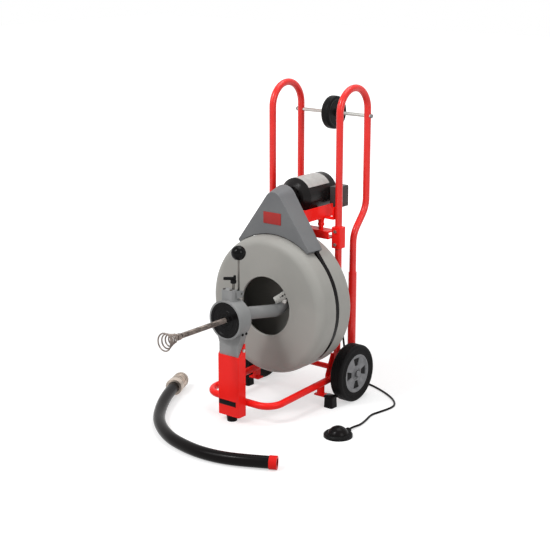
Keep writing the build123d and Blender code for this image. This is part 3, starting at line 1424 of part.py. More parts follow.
# Selector handle: a stem in the boss, a round hub and a flat arm with an upturned short end
STEM_TOP_Z = BOSS_TOP_Z + STEM_RISE


def arm_place(along):
    """Place on the floor plan at a distance along the arm from its stem."""
    turn = math.radians(ARM_TURN)
    return (SELECTOR_X + along * math.cos(turn), SELECTOR_Y + along * math.sin(turn))


with BuildPart() as selector_handle:
    with BuildSketch(Plane.XY.offset(BOSS_TOP_Z - STEM_SINK + BODY_GAP)):
        with Locations((SELECTOR_X, SELECTOR_Y)):
            Circle(STEM_D / 2)
    extrude(amount=STEM_RISE + STEM_SINK - BODY_GAP)
    with BuildSketch(Plane.XY.offset(STEM_TOP_Z)):
        with Locations((SELECTOR_X, SELECTOR_Y)):
            Circle(ARM_HUB_R)
    extrude(amount=ARM_H)
    with BuildSketch(Plane.XY.offset(STEM_TOP_Z + ARM_H)):
        with Locations(arm_place(ARM_W - ARM_L / 2)):
            SlotOverall(ARM_L, ARM_W, rotation=ARM_TURN)
    extrude(amount=ARM_H)
    with BuildSketch(Plane.XY.offset(STEM_TOP_Z + 2 * ARM_H)):
        with Locations(arm_place(ARM_W / 2)):
            Circle(ARM_W / 2)
    extrude(amount=ARM_TIP_H)
keep("selector_handle", selector_handle)


# Switch box on the motor's right side, its direction switch and its fittings
BOX_REAR_Y = BOX_Y + BOX_L
BOX_MIDDLE_X = BOX_X + BOX_W / 2
SWITCH_Z = BOX_Z + SWITCH_RISE
GLAND_Z = BOX_Z + GLAND_RISE
BARB_Y = BOX_Y + BOX_L / 2
BARB_END_Z = BOX_Z - NUT_H - BARB_L
with BuildPart() as switch_box:
    with BuildSketch(Plane.XY.offset(BOX_Z)):
        with Locations((BOX_MIDDLE_X, BARB_Y)):
            RectangleRounded(BOX_W, BOX_L, BOX_WALL)
    extrude(amount=BOX_H)
    with BuildSketch(Plane.XY.offset(BOX_Z + BOX_WALL)):
        with Locations((BOX_MIDDLE_X, BARB_Y)):
            Rectangle(BOX_W - 2 * BOX_WALL, BOX_L - 2 * BOX_WALL)
    extrude(amount=BOX_H - 2 * BOX_WALL, mode=Mode.SUBTRACT)
    with BuildSketch(front_plane(BOX_REAR_Y)):
        with Locations((BOX_MIDDLE_X, SWITCH_Z)):
            Circle(SWITCH_STEM_D / 2 + RUN_GAP)
        with Locations((BOX_MIDDLE_X, GLAND_Z)):
            Circle(FITTING_D / 2 + SEAT_GAP)
    extrude(amount=BOX_WALL, mode=Mode.SUBTRACT)
    with BuildSketch(Plane.XY.offset(BOX_Z)):
        with Locations((BOX_MIDDLE_X, BARB_Y)):
            Circle(FITTING_D / 2 + SEAT_GAP)
    extrude(amount=BOX_WALL, mode=Mode.SUBTRACT)
keep("switch_box", switch_box)

with BuildPart() as direction_switch:
    with BuildSketch(front_plane(BOX_REAR_Y + BODY_GAP)):
        with Locations((BOX_MIDDLE_X, SWITCH_Z)):
            Circle(SWITCH_STEM_D)
    extrude(amount=-SWITCH_T)
    with BuildSketch(front_plane(BOX_REAR_Y + BODY_GAP)):
        with Locations((BOX_MIDDLE_X, SWITCH_Z)):
            Circle(SWITCH_STEM_D / 2)
    extrude(amount=2 * BOX_WALL)
    with BuildSketch(front_plane(BOX_REAR_Y + BODY_GAP)):
        with Locations((BOX_MIDDLE_X, SWITCH_Z + SWITCH_ARM_L / 4)):
            SlotOverall(SWITCH_ARM_L, SWITCH_ARM_W, rotation=90)
    extrude(amount=-2 * SWITCH_T)
keep("direction_switch", direction_switch)

gland_seat = Plane(origin=(BOX_MIDDLE_X, BOX_REAR_Y, GLAND_Z), z_dir=(0, 1, 0))
barb_seat = Plane(origin=(BOX_MIDDLE_X, BARB_Y, BOX_Z), z_dir=(0, 0, -1))
with BuildPart() as box_fittings:
    for seat, end_r, length in (
        (gland_seat, NUT_R - BARB_LIP, BARB_L / 2),
        (barb_seat, HOSE_D / 2 + BARB_LIP, BARB_L),
    ):
        with BuildSketch(seat):
            RegularPolygon(NUT_R, 6)
        extrude(amount=NUT_H)
        with BuildSketch(seat.offset(NUT_H)):
            Circle(end_r)
        extrude(amount=length, taper=FITTING_DRAFT)
        with BuildSketch(seat):
            Circle(FITTING_D / 2)
        extrude(amount=-2 * BOX_WALL)
keep("box_fittings", box_fittings)


# Bolts of the frame, and the screws of the guard and of the feed unit
with BuildPart() as frame_bolts:
    for side in (-1, 1):
        for step in (-SUPPORT_BOLT_STEP, SUPPORT_BOLT_STEP):
            add_bolt(
                (side * POST_X, SUPPORT_Y, DRUM_Z + step), (0, -1, 0),
                BOLT_D, SUPPORT_T + 2 * TUBE_WALL, BOLT_HEAD, BOLT_HEAD_H,
            )
        for z in (BRACKET_BOLT_LOW, BRACKET_BOLT_HIGH):
            add_bolt(
                (side * POST_X, BRACKET_FRONT_Y, z), (0, -1, 0),
                BOLT_D, BRACKET_WALL - BODY_GAP, BOLT_HEAD, BOLT_HEAD_H,
            )
        add_bolt(
            (side * PLATE_BOLT_X, POST_Y, PLATE_BOLT_Z), (-side, 0, 0),
            BOLT_D, PLATE_T + 2 * TUBE_WALL, BOLT_HEAD, BOLT_HEAD_H,
        )
        add_bolt(
            (side * COLUMN_W / 2, COLUMN_BOLT_Y, COLUMN_BOLT_Z), (side, 0, 0),
            BOLT_D, COLUMN_SHEET + BOLT_D, BOLT_HEAD, BOLT_HEAD_H,
        )
keep("frame_bolts", frame_bolts)

with BuildPart() as cover_screws:
    for x in (-TAB_X, TAB_X):
        add_bolt(
            (x, GUARD_REAR_Y + PLATE_T, TAB_Z), (0, 1, 0),
            SCREW_D, PLATE_T + TAB_T, SCREW_HEAD, SCREW_HEAD_H,
        )
    for x in BOSS_BOLT_X:
        add_bolt(
            (x, BOSS_BOLT_Y, BOSS_TOP_Z), (0, 0, 1),
            SCREW_D, STEM_SINK - BODY_GAP, SCREW_HEAD, SCREW_HEAD_H,
        )
keep("cover_screws", cover_screws)


# Drain cable in front of the feed unit: a plain shank through the rollers, then wire wound on a core
CABLE_END_Y = FEED_FRONT_Y - CABLE_FREE
SHANK_END_Y = FEED_FACE_BACK_Y
WIRE_R = (CABLE_D - WIRE_D) / 2
wire_turns = int((SHANK_END_Y - CABLE_END_Y - 2 * WIRE_D) / WIRE_PITCH)
wire_step = (SHANK_END_Y - CABLE_END_Y - 2 * WIRE_D) / wire_turns


def axis_place(radius, y, turn):
    """Place at a radius and a turn about the drum's axis."""
    return Vector(radius * math.cos(turn), y, DRUM_Z + radius * math.sin(turn))


def tangent(radius, turn, along, growth=0.0):
    """Direction of a wire that winds about the drum's axis, with its travel and growth per radian."""
    across = Vector(-math.sin(turn), 0, math.cos(turn)) * radius
    outward = Vector(math.cos(turn), 0, math.sin(turn)) * growth
    return (across + outward + Vector(0, along, 0)).normalized()


wire_places = []
wire_directions = []
for half in range(2 * wire_turns + 1):
    turn = half * HALF_TURN
    wire_places.append(axis_place(WIRE_R, SHANK_END_Y - WIRE_D - wire_step * half / 2, turn))
    wire_directions.append(tangent(WIRE_R, turn, -wire_step / (2 * math.pi)))

with BuildPart() as drain_cable:
    with BuildLine() as wire:
        Line(wire_places[0] - wire_directions[0] * WIRE_D, wire_places[0])
        add_biarcs(wire_places, wire_directions)
        Line(wire_places[-1], wire_places[-1] + wire_directions[-1] * WIRE_D)
    with BuildSketch(Plane(origin=wire.line @ 0, z_dir=wire.line % 0)):
        Circle(WIRE_D / 2)
    sweep()
    for start_y, end_y, radius in (
        (CABLE_REAR_Y, SHANK_END_Y, CABLE_D / 2),
        (SHANK_END_Y, CABLE_END_Y, WIRE_R - WIRE_D / 2 - BODY_GAP),
    ):
        with BuildSketch(front_plane(start_y)):
            with Locations((0, DRUM_Z)):
                Circle(radius)
        extrude(amount=start_y - end_y)
keep("drain_cable", drain_cable)
wire_gap = least_gap(wire.wire(), WIRE_D / 4, CABLE_D, WIRE_D)
print("drain cable: turns", wire_turns, "gap to itself", wire_gap)


# Auger: a coupling on the cable's end and a wire that opens out in growing turns
COUPLING_END_Y = CABLE_END_Y - COUPLING_L
AUGER_START_Y = COUPLING_END_Y - AUGER_WIRE_D
auger_places = [axis_place(COUPLING_R - AUGER_WIRE_D, COUPLING_END_Y, 0)]
auger_places.append(axis_place(COUPLING_R - AUGER_WIRE_D, AUGER_START_Y, 0))
auger_directions = [Vector(0, -1, 0), Vector(0, -1, 0)]
auger_quarters = 4 * AUGER_TURNS
for quarter in range(1, auger_quarters + 1):
    share = quarter / auger_quarters
    turn = quarter * QUARTER_TURN
    radius = AUGER_R_SMALL + (AUGER_R_LARGE - AUGER_R_SMALL) * share**AUGER_FLARE
    growth = (AUGER_R_LARGE - AUGER_R_SMALL) * AUGER_FLARE * share ** (AUGER_FLARE - 1)
    auger_places.append(axis_place(radius, AUGER_START_Y - AUGER_LENGTH * share, turn))
    radians = auger_quarters * QUARTER_TURN
    auger_directions.append(tangent(radius, turn, -AUGER_LENGTH / radians, growth / radians))

with BuildPart() as auger:
    with BuildSketch(front_plane(CABLE_END_Y)):
        with Locations((0, DRUM_Z)):
            Circle(COUPLING_R)
    extrude(amount=COUPLING_L)
    chamfer(auger.edges().filter_by(GeomType.CIRCLE), COUPLING_R / 10)
    with BuildLine() as auger_wire:
        Line(auger_places[0], auger_places[1])
        add_biarcs(auger_places[1:], auger_directions[1:])
        Line(auger_places[-1], auger_places[-1] + auger_directions[-1] * AUGER_TAIL)
    with BuildSketch(Plane(origin=auger_wire.line @ 0, z_dir=auger_wire.line % 0)):
        Circle(AUGER_WIRE_D / 2)
    sweep()
keep("auger", auger)
auger_gap = least_gap(auger_wire.wire(), AUGER_WIRE_D / 4, AUGER_R_LARGE, AUGER_WIRE_D)
print("auger: gap to itself", auger_gap)


# Foot switch: a round base with a well and a domed button that sinks into it
NIPPLE_Y = PEDAL_Y + PEDAL_R + NIPPLE_L
with BuildPart() as pedal_base:
    with BuildSketch(Plane.XY):
        with Locations((PEDAL_X, PEDAL_Y)):
            Circle(PEDAL_R)
    extrude(amount=PEDAL_H)
    chamfer(pedal_base.edges().filter_by(GeomType.CIRCLE).sort_by(Axis.Z)[-1:], PEDAL_H / 3)
    with BuildSketch(Plane.XY.offset(PEDAL_FLOOR_T)):
        with Locations((PEDAL_X, PEDAL_Y)):
            Circle(BUTTON_R + BODY_GAP)
    extrude(amount=PEDAL_H, mode=Mode.SUBTRACT)
    with BuildSketch(front_plane(NIPPLE_Y)):
        with Locations((NIPPLE_X, NIPPLE_Z)):
            Circle(HOSE_D / 2)
    extrude(amount=NIPPLE_L + (PEDAL_R - BUTTON_R) / 3)
keep("pedal_base", pedal_base)

BUTTON_FOOT_Z = PEDAL_FLOOR_T + BUTTON_TRAVEL + BODY_GAP
BUTTON_RIM_Z = PEDAL_H + BODY_GAP
with BuildPart() as pedal_button:
    with BuildSketch(front_plane(PEDAL_Y)):
        with BuildLine():
            Polyline(
                (PEDAL_X, BUTTON_TOP),
                (PEDAL_X, BUTTON_FOOT_Z),
                (PEDAL_X + BUTTON_R, BUTTON_FOOT_Z),
                (PEDAL_X + BUTTON_R, BUTTON_RIM_Z),
            )
            TangentArc(
                (PEDAL_X, BUTTON_TOP), (PEDAL_X + BUTTON_R, BUTTON_RIM_Z), tangent=(1, 0)
            )
        make_face()
    revolve(axis=Axis((PEDAL_X, PEDAL_Y, 0), (0, 0, 1)))
keep("pedal_button", pedal_button)


# Free hoses: straight runs with arcs as large as the runs allow
def route_radii(points):
    """Radius of each corner of a route, from its shorter run and its turn."""
    radii = []
    for before, here, after in zip(points, points[1:], points[2:]):
        arriving = Vector(here) - Vector(before)
        leaving = Vector(after) - Vector(here)
        half_turn = math.radians(arriving.get_angle(leaving)) / 2
        radii.append(BEND_SHARE * min(arriving.length, leaving.length) / math.tan(half_turn))
    return radii


HOSE_Z = HOSE_D / 2 + BODY_GAP
PEDAL_HOSE_ROUTE = [
    (NIPPLE_X, NIPPLE_Y, NIPPLE_Z),
    (NIPPLE_X, -106.0, NIPPLE_Z),
    (386.0, -74.0, HOSE_Z),
    (377.0, -25.0, HOSE_Z),
    (361.0, 30.0, HOSE_Z),
    (369.0, 67.0, HOSE_Z),
    (380.5, 136.0, HOSE_Z),
    (370.0, 171.0, HOSE_Z),
    (337.0, 208.0, HOSE_Z),
    (285.0, 243.0, HOSE_Z),
    (222.0, 273.0, HOSE_Z),
    (175.0, 289.0, HOSE_Z),
    (132.0, 284.0, 9.0),
    (104.0, 265.0, 40.0),
    (96.0, 243.0, 110.0),
    (93.0, 228.0, 200.0),
    (91.5, 216.0, 300.0),
    (90.5, 207.0, 405.0),
    (90.0, 201.0, 510.0),
    (BOX_MIDDLE_X, BARB_Y, 604.0),
    (BOX_MIDDLE_X, BARB_Y, BARB_END_Z),
]
GUIDE_HOSE_ROUTE = [
    (-340.0, -232.0, COLLAR_R),
    (-296.0, -330.0, COLLAR_R),
    (-202.0, -471.0, GUIDE_HOSE_D / 2),
    (-121.0, -545.0, GUIDE_HOSE_D / 2),
    (-33.0, -597.0, GUIDE_HOSE_D / 2),
    (45.0, -620.0, GUIDE_HOSE_D / 2),
    (135.0, -632.0, GUIDE_HOSE_D / 2),
    (225.0, -621.0, GUIDE_HOSE_D / 2),
    (312.0, -589.0, GUIDE_HOSE_D / 2 + HOSE_CAP_T),
    (390.0, -547.0, GUIDE_HOSE_D / 2 + HOSE_CAP_T),
]

with BuildPart() as pedal_hose:
    pedal_hose_length = add_tube(PEDAL_HOSE_ROUTE, route_radii(PEDAL_HOSE_ROUTE), HOSE_D)
keep("pedal_hose", pedal_hose)

with BuildPart() as guide_hose:
    guide_hose_length = add_tube(
        GUIDE_HOSE_ROUTE, route_radii(GUIDE_HOSE_ROUTE), GUIDE_HOSE_D, GUIDE_HOSE_BORE
    )
keep("guide_hose", guide_hose)

for name, builder, length, section, route in (
    ("pedal hose", pedal_hose, pedal_hose_length, HOSE_D**2, PEDAL_HOSE_ROUTE),
    ("guide hose", guide_hose, guide_hose_length, GUIDE_HOSE_D**2 - GUIDE_HOSE_BORE**2, GUIDE_HOSE_ROUTE),
):
    print(name, "length", round(length), "radii", [round(radius) for radius in route_radii(route)])
    share = builder.part.volume / (length * math.pi * section / 4)
    print(name, "volume over section times length", round(share, 4))


# Steel coupling at one end of the guide hose and the cap at the other
coupling_end = Vector(GUIDE_HOSE_ROUTE[0])
coupling_axis = (coupling_end - Vector(GUIDE_HOSE_ROUTE[1])).normalized()


def coupling_plane(along):
    """Plane across the coupling, at a distance out from the hose's end."""
    return Plane(origin=coupling_end + coupling_axis * along, z_dir=coupling_axis)


with BuildPart() as hose_coupling:
    with BuildSketch(coupling_plane(-COLLAR_L)):
        Circle(COLLAR_R)
    extrude(amount=COLLAR_L + RIB_L)
    with BuildSketch(coupling_plane(0)):
        Circle(COLLAR_R - 2 * RIB_DEPTH)
    extrude(amount=RIBS * 2 * RIB_L)
    for rib in range(1, RIBS):
        with BuildSketch(coupling_plane(2 * rib * RIB_L)):
            Circle(COLLAR_R - RIB_DEPTH)
        extrude(amount=RIB_L)
    with BuildSketch(coupling_plane(-COLLAR_L)):
        Circle(GUIDE_HOSE_D / 2 + BODY_GAP)
    extrude(amount=COLLAR_L, mode=Mode.SUBTRACT)
    with BuildSketch(coupling_plane(0)):
        Circle(GUIDE_HOSE_BORE / 2)
    extrude(amount=RIBS * 2 * RIB_L, mode=Mode.SUBTRACT)
keep("hose_coupling", hose_coupling)

cap_end = Vector(GUIDE_HOSE_ROUTE[-1])
cap_axis = (cap_end - Vector(GUIDE_HOSE_ROUTE[-2])).normalized()
with BuildPart() as hose_cap:
    with BuildSketch(Plane(origin=cap_end - cap_axis * HOSE_CAP_L, z_dir=cap_axis)):
        Circle(GUIDE_HOSE_D / 2 + HOSE_CAP_T)
    extrude(amount=HOSE_CAP_L + HOSE_CAP_T)
    with BuildSketch(Plane(origin=cap_end - cap_axis * HOSE_CAP_L, z_dir=cap_axis)):
        Circle(GUIDE_HOSE_D / 2 + BODY_GAP)
    extrude(amount=HOSE_CAP_L, mode=Mode.SUBTRACT)
    with BuildSketch(Plane(origin=cap_end, z_dir=cap_axis)):
        Circle(GUIDE_HOSE_BORE / 2)
    extrude(amount=HOSE_CAP_T, mode=Mode.SUBTRACT)
keep("hose_cap", hose_cap)
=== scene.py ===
"""Dresses a drum drain cleaning machine for its picture, in metres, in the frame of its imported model.

+Z is up, the cable comes out towards -Y and +X is the right-hand side seen from the front.
"""
from __future__ import annotations

import json
import logging
import math
from contextlib import contextmanager
from dataclasses import dataclass
from enum import Enum
from typing import Any, Callable, Iterator, Sequence

import bmesh
import bpy
from mathutils import Matrix, Vector

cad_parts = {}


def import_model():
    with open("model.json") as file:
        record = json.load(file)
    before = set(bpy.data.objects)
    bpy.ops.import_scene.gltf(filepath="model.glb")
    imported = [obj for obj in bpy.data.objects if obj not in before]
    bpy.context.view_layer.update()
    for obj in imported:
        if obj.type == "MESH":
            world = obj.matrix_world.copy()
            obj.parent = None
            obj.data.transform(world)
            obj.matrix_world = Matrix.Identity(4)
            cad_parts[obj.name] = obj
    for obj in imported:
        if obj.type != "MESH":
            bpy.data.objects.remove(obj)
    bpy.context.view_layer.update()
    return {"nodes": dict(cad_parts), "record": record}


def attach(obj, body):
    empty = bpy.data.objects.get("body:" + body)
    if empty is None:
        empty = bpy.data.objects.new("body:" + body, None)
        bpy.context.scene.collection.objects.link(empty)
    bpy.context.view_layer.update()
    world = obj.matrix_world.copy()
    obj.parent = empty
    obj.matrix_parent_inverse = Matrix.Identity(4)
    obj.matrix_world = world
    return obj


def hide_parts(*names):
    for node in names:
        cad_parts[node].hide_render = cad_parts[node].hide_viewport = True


LOG = logging.getLogger("drain_cleaner")
Point = tuple[float, float, float]
Screen = tuple[int, int, int]
Profile = list[tuple[float, float]]
MM = 0.001
TURN = 2.0 * math.pi
UP = Vector((0.0, 0.0, 1.0))
SMOOTH_ANGLE = math.radians(35.0)
MERGE_DISTANCE = 0.005 * MM
CLOSED_RADIUS = 0.001
CURVE_STEPS = 12
ROUND_STEPS = 4
SPLINE_ORDER = 3
BEVEL_SAMPLES = 4
NOISE_MIDDLE = 0.5
SMUDGE_FINENESS = 4.0
SIDES = ((-1.0, "left"), (1.0, "right"))
# Stretches of a noise or an edge mask that are spread over 0 to 1
CLOUD_BAND = (0.35, 0.65)
SMUDGE_BAND = (0.38, 0.72)
SCUFF_BAND = (0.44, 0.66)
EDGE_BAND = (0.02, 0.2)


def linear(colour: Screen) -> tuple[float, float, float, float]:
    """Turns a screen colour into the linear colour that shaders take.

    Args:
        colour: Red, green and blue of 0 to 255.

    Returns:
        The linear colour, which is opaque.
    """
    shares = [value / 255.0 for value in colour]
    steps = [s / 12.92 if s <= 0.04045 else ((s + 0.055) / 1.055) ** 2.4 for s in shares]
    return (steps[0], steps[1], steps[2], 1.0)


def metres(*places: Point) -> list[Point]:
    """Turns places in millimetres into metres."""
    return [(x * MM, y * MM, z * MM) for x, y, z in places]


def select(active: bpy.types.Object, *others: bpy.types.Object) -> None:
    """Selects pieces and nothing else.

    Args:
        active: The piece that becomes the active one.
        others: What is selected with it.
    """
    bpy.ops.object.select_all(action="DESELECT")
    for piece in (active, *others):
        piece.select_set(True)
    bpy.context.view_layer.objects.active = active


def pair(place: Point) -> list[Point]:
    """Places left and right of the machine's middle, given by the right-hand one."""
    return [(side * place[0], *place[1:]) for side, _ in SIDES]


def quarter_arc(centre: tuple[float, float], radius: float, steps: int = 8) -> Profile:
    """Points of a profile round a shoulder, from its side to its crown."""
    turns = [index / steps * TURN / 4.0 for index in range(steps + 1)]
    return [(centre[0] + radius * math.cos(turn), centre[1] + radius * math.sin(turn)) for turn in turns]


def both_sides(half: Profile) -> Profile:
    """Closes a profile by mirroring its right half, given from the bore to the crown."""
    left = [(-along, radius) for along, radius in half]
    return [*left, *reversed(half), left[0]]


def rod(radius: float, low: float, high: float, edge: float) -> Profile:
    """Profile of a rod from low to high, closed at both ends and bevelled at the high one."""
    return [(low, 0.0), (low, radius), (high - edge, radius), (high, radius - edge), (high, 0.0)]


def waisted(radius: float, waist: float, length: float, edge: float, neck: tuple[float, float]) -> Profile:
    """Draws a closed rod with bevelled ends that is narrower in its middle.

    Args:
        radius: Its radius in millimetres.
        waist: The radius of its middle.
        length: Its length.
        edge: The bevel of its ends.
        neck: How far from each end it starts to narrow and how far it has narrowed.

    Returns:
        The (along, radius) points of its profile.
    """
    start, done = neck
    half = [(0.0, 0.0), (0.0, radius - edge), (edge, radius), (start, radius), (done, waist)]
    return [*half, *((length - along, across) for along, across in reversed(half))]


class Wire:
    """A shader socket that takes part in arithmetic: each operator adds the Math node that does it."""

    def __init__(self, net: Net, socket: bpy.types.NodeSocket) -> None:
        """Keeps the socket and the net that it belongs to."""
        self.net = net
        self.socket = socket

    def math(self, operation: str, first: Any, second: Any) -> Wire:
        """Adds a Math node for two numbers or wires and gives its result."""
        return self.net.add("ShaderNodeMath", {"operation": operation}, {0: first, 1: second})

    def __add__(self, other: Any) -> Wire:
        """Sum with a number or a wire."""
        return self.math("ADD", self, other)

    def __sub__(self, other: Any) -> Wire:
        """Difference with a number or a wire."""
        return self.math("SUBTRACT", self, other)

    def __rsub__(self, other: float) -> Wire:
        """A number less this wire."""
        return self.math("SUBTRACT", other, self)

    def __mul__(self, other: Any) -> Wire:
        """Product with a number or a wire."""
        return self.math("MULTIPLY", self, other)

    def spread(self, low: float, high: float) -> Wire:
        """Spreads the stretch from low to high smoothly over 0 to 1 and holds it there."""
        inputs = {"Value": self, "From Min": low, "From Max": high}
        return self.net.add("ShaderNodeMapRange", {"interpolation_type": "SMOOTHSTEP"}, inputs)

    __radd__ = __add__
    __rmul__ = __mul__


class Net:
    """The nodes of one material or of the world, added by name and joined by wires."""

    def __init__(self, owner: bpy.types.Material | bpy.types.World) -> None:
        """Empties the owner's tree of nodes.

        Args:
            owner: The material or the world.
        """
        owner.use_nodes = True
        self.tree = owner.node_tree
        self.tree.nodes.clear()

    def add(
        self, kind: str, settings: dict[str, Any], inputs: dict[Any, Any], output: Any = 0,
    ) -> Wire | None:
        """Adds one node.

        Args:
            kind: The node's type.
            settings: Its properties, set first.
            inputs: The values or wires of its sockets, by name or number.
            output: Which of its results is wanted, by name or number, or None for a node without any.

        Returns:
            The wanted result.
        """
        node = self.tree.nodes.new(kind)
        for key, value in settings.items():
            setattr(node, key, value)
        for key, value in inputs.items():
            if isinstance(value, Wire):
                self.tree.links.new(value.socket, node.inputs[key])
            else:
                node.inputs[key].default_value = value
        return None if output is None else Wire(self, node.outputs[output])

    def places(self) -> Wire:
        """Places on the piece in metres."""
        return self.add("ShaderNodeTexCoord", {}, {}, "Object")

    def noise(self, scale: float, detail: float) -> Wire:
        """Soft noise with about so many patches to the metre, about a middle of one half."""
        inputs = {"Vector": self.places(), "Scale": scale, "Detail": detail}
        return self.add("ShaderNodeTexNoise", {}, inputs)

    def mix(self, share: Any, first: Any, second: Any) -> Wire:
        """Blends two colours by a share."""
        return self.add("ShaderNodeMix", {"data_type": "RGBA"}, {"Factor": share, 6: first, 7: second}, 2)

    def soft_edge(self, radius: float) -> Wire:
        """Normals rounded over the edges by a radius."""
        return self.add("ShaderNodeBevel", {"samples": BEVEL_SAMPLES}, {"Radius": radius})

    def edges(self, radius: float) -> Wire:
        """Masks the edges.

        Args:
            radius: How far the mask reaches from an edge, in metres.

        Returns:
            A mask of 1 along the edges and 0 on the flats.
        """
        normal = self.add("ShaderNodeNewGeometry", {}, {}, "Normal")
        inputs = {0: self.soft_edge(radius), 1: normal}
        match = self.add("ShaderNodeVectorMath", {"operation": "DOT_PRODUCT"}, inputs, "Value")
        return (1.0 - match).spread(*EDGE_BAND)

    def bump(self, height: Wire, distance: float, normal: Wire) -> Wire:
        """Normals tilted by a height that is worth so many metres."""
        return self.add("ShaderNodeBump", {}, {"Height": height, "Distance": distance, "Normal": normal})

    def close(self, shader: str, inputs: dict[str, Any], output: str = "ShaderNodeOutputMaterial") -> None:
        """Ends the net with a shader that feeds an output node."""
        surface = self.add(shader, {}, inputs)
        self.add(output, {}, {"Surface": surface}, None)


@dataclass(frozen=True)
class Finish:
    """A surface: its two close colours, its gloss, its grain and what wear leaves along its edges."""

    name: str
    colour: Screen
    second: Screen
    roughness: float
    smudges: float = 0.08
    metallic: float = 0.0
    coat: float = 0.0
    coat_roughness: float = 0.12
    specular: float = 0.5
    clouds: float = 9.0
    grain: float = 900.0
    grain_depth: float = 0.03 * MM
    scuffs: float = 140.0
    edge_radius: float = 1.2 * MM
    worn: Screen | None = None
    wear: float = 0.0

    def material(self) -> bpy.types.Material:
        """Builds the surface from noise at three scales: clouds of colour, smudges of gloss and a grain.

        Returns:
            The material, which is made once for each name.
        """
        material = bpy.data.materials.get(self.name)
        if material is not None:
            return material
        material = bpy.data.materials.new(self.name)
        net = Net(material)
        cloud = net.noise(self.clouds, detail=4.0).spread(*CLOUD_BAND)
        base = net.mix(cloud, linear(self.colour), linear(self.second))
        grain = net.noise(self.grain, detail=3.0)
        smudge = net.noise(self.clouds * SMUDGE_FINENESS, detail=5.0).spread(*SMUDGE_BAND)
        roughness = smudge * self.smudges + (grain - NOISE_MIDDLE) * self.smudges + self.roughness
        if self.worn is not None:
            scuff = net.edges(self.edge_radius) * net.noise(self.scuffs, detail=4.0).spread(*SCUFF_BAND)
            base = net.mix(scuff * self.wear, base, linear(self.worn))
        normal = net.bump(grain, self.grain_depth, net.soft_edge(self.edge_radius))
        net.close("ShaderNodeBsdfPrincipled", {
            "Base Color": base,
            "Roughness": roughness,
            "Metallic": self.metallic,
            "Coat Weight": self.coat,
            "Coat Roughness": self.coat_roughness,
            "Specular IOR Level": self.specular,
            "Normal": normal,
        })
        return material


class Slot(Enum):
    """The record's material slots, each with the finish that its pieces get."""

    RED_PAINT = Finish("red_powder_coat", (255, 36, 30), (249, 32, 27), 0.28, coat=0.06, specular=0.14,
                       grain=650.0, grain_depth=0.02 * MM, worn=(140, 18, 17), wear=0.35)
    DRUM_PLASTIC = Finish("drum_moulding", (163, 161, 156), (156, 155, 150), 0.46, specular=0.2,
                          grain=1400.0, clouds=5.0, worn=(182, 181, 177), wear=0.4)
    GUARD_PLASTIC = Finish("guard_moulding", (117, 118, 119), (110, 111, 113), 0.48, specular=0.2,
                           grain=1400.0, clouds=6.0, worn=(150, 152, 153), wear=0.4)
    CAST_GREY = Finish("painted_casting", (146, 146, 146), (134, 135, 135), 0.44, specular=0.3, grain=420.0,
                       grain_depth=0.12 * MM, worn=(180, 179, 177), wear=0.5)
    ZINC_STEEL = Finish("zinc_plate", (196, 194, 188), (176, 175, 171), 0.32, metallic=1.0, grain=500.0,
                        grain_depth=0.01 * MM)
    BEARING_STEEL = Finish("ground_steel", (176, 176, 178), (160, 160, 163), 0.26, metallic=1.0,
                           grain_depth=0.005 * MM)
    CABLE_STEEL = Finish("oiled_wire", (138, 127, 120), (100, 92, 87), 0.34, metallic=0.9, clouds=40.0,
                         edge_radius=0.3 * MM, grain_depth=0.01 * MM)
    MOTOR_PAINT = Finish("motor_enamel", (24, 22, 22), (29, 27, 27), 0.22, specular=0.13, grain=350.0,
                         grain_depth=0.02 * MM, worn=(54, 52, 50), wear=0.35)
    ROTOR_IRON = Finish("turned_iron", (84, 84, 84), (72, 72, 73), 0.42, metallic=0.8)
    TYRE_RUBBER = Finish("tyre_compound", (17, 16, 17), (22, 21, 21), 0.48, specular=0.08, grain=700.0,
                         grain_depth=0.05 * MM, worn=(44, 42, 41), wear=0.4)
    HUB_PLASTIC = Finish("hub_moulding", (138, 138, 140), (122, 122, 124), 0.46, specular=0.2, grain=500.0,
                         clouds=60.0, grain_depth=0.10 * MM)
    BLACK_RUBBER = Finish("hose_compound", (15, 12, 13), (19, 16, 16), 0.22, smudges=0.04, specular=0.08,
                          grain=1100.0, clouds=12.0, grain_depth=0.01 * MM)
    BLACK_PLASTIC = Finish("black_moulding", (16, 16, 17), (21, 21, 21), 0.36, specular=0.08, grain=1100.0,
                           clouds=14.0, worn=(52, 51, 50), wear=0.3)
    KNOB_PLASTIC = Finish("knob_moulding", (8, 8, 9), (10, 10, 10), 0.08, smudges=0.03, specular=0.1,
                          grain_depth=0.002 * MM)
    BUSH_BRASS = Finish("turned_brass", (184, 150, 84), (170, 138, 78), 0.34, metallic=1.0)
    RED_PLASTIC = Finish("cap_moulding", (226, 32, 28), (216, 29, 26), 0.40, specular=0.1, grain=1000.0,
                         clouds=14.0)

    @property
    def slot(self) -> str:
        """The slot's name in the record."""
        return self.name.lower()


TUBE_PAINT = Finish("tube_powder_coat", (238, 43, 37), (229, 39, 34), 0.26, coat=0.12, specular=0.36,
                    grain=650.0, grain_depth=0.02 * MM, worn=(140, 18, 17), wear=0.35)
DARK_STEEL = Finish("browned_steel", (104, 101, 97), (84, 82, 79), 0.36, metallic=1.0, grain=500.0,
                    grain_depth=0.01 * MM)
PLATE_ALLOY = Finish("plate_alloy", (190, 189, 186), (176, 175, 172), 0.40, metallic=0.35, clouds=30.0)
COUPLING_STEEL = Finish("oiled_coupling", (208, 194, 181), (168, 156, 146), 0.34, metallic=1.0, clouds=24.0,
                        grain=500.0, grain_depth=0.01 * MM)
BOX_ENAMEL = Finish("box_enamel", (74, 72, 71), (66, 64, 64), 0.40, specular=0.2, grain=600.0)
FACE_MOULDING = Finish("face_moulding", (11, 10, 11), (14, 13, 13), 0.20, specular=0.09, grain=900.0)
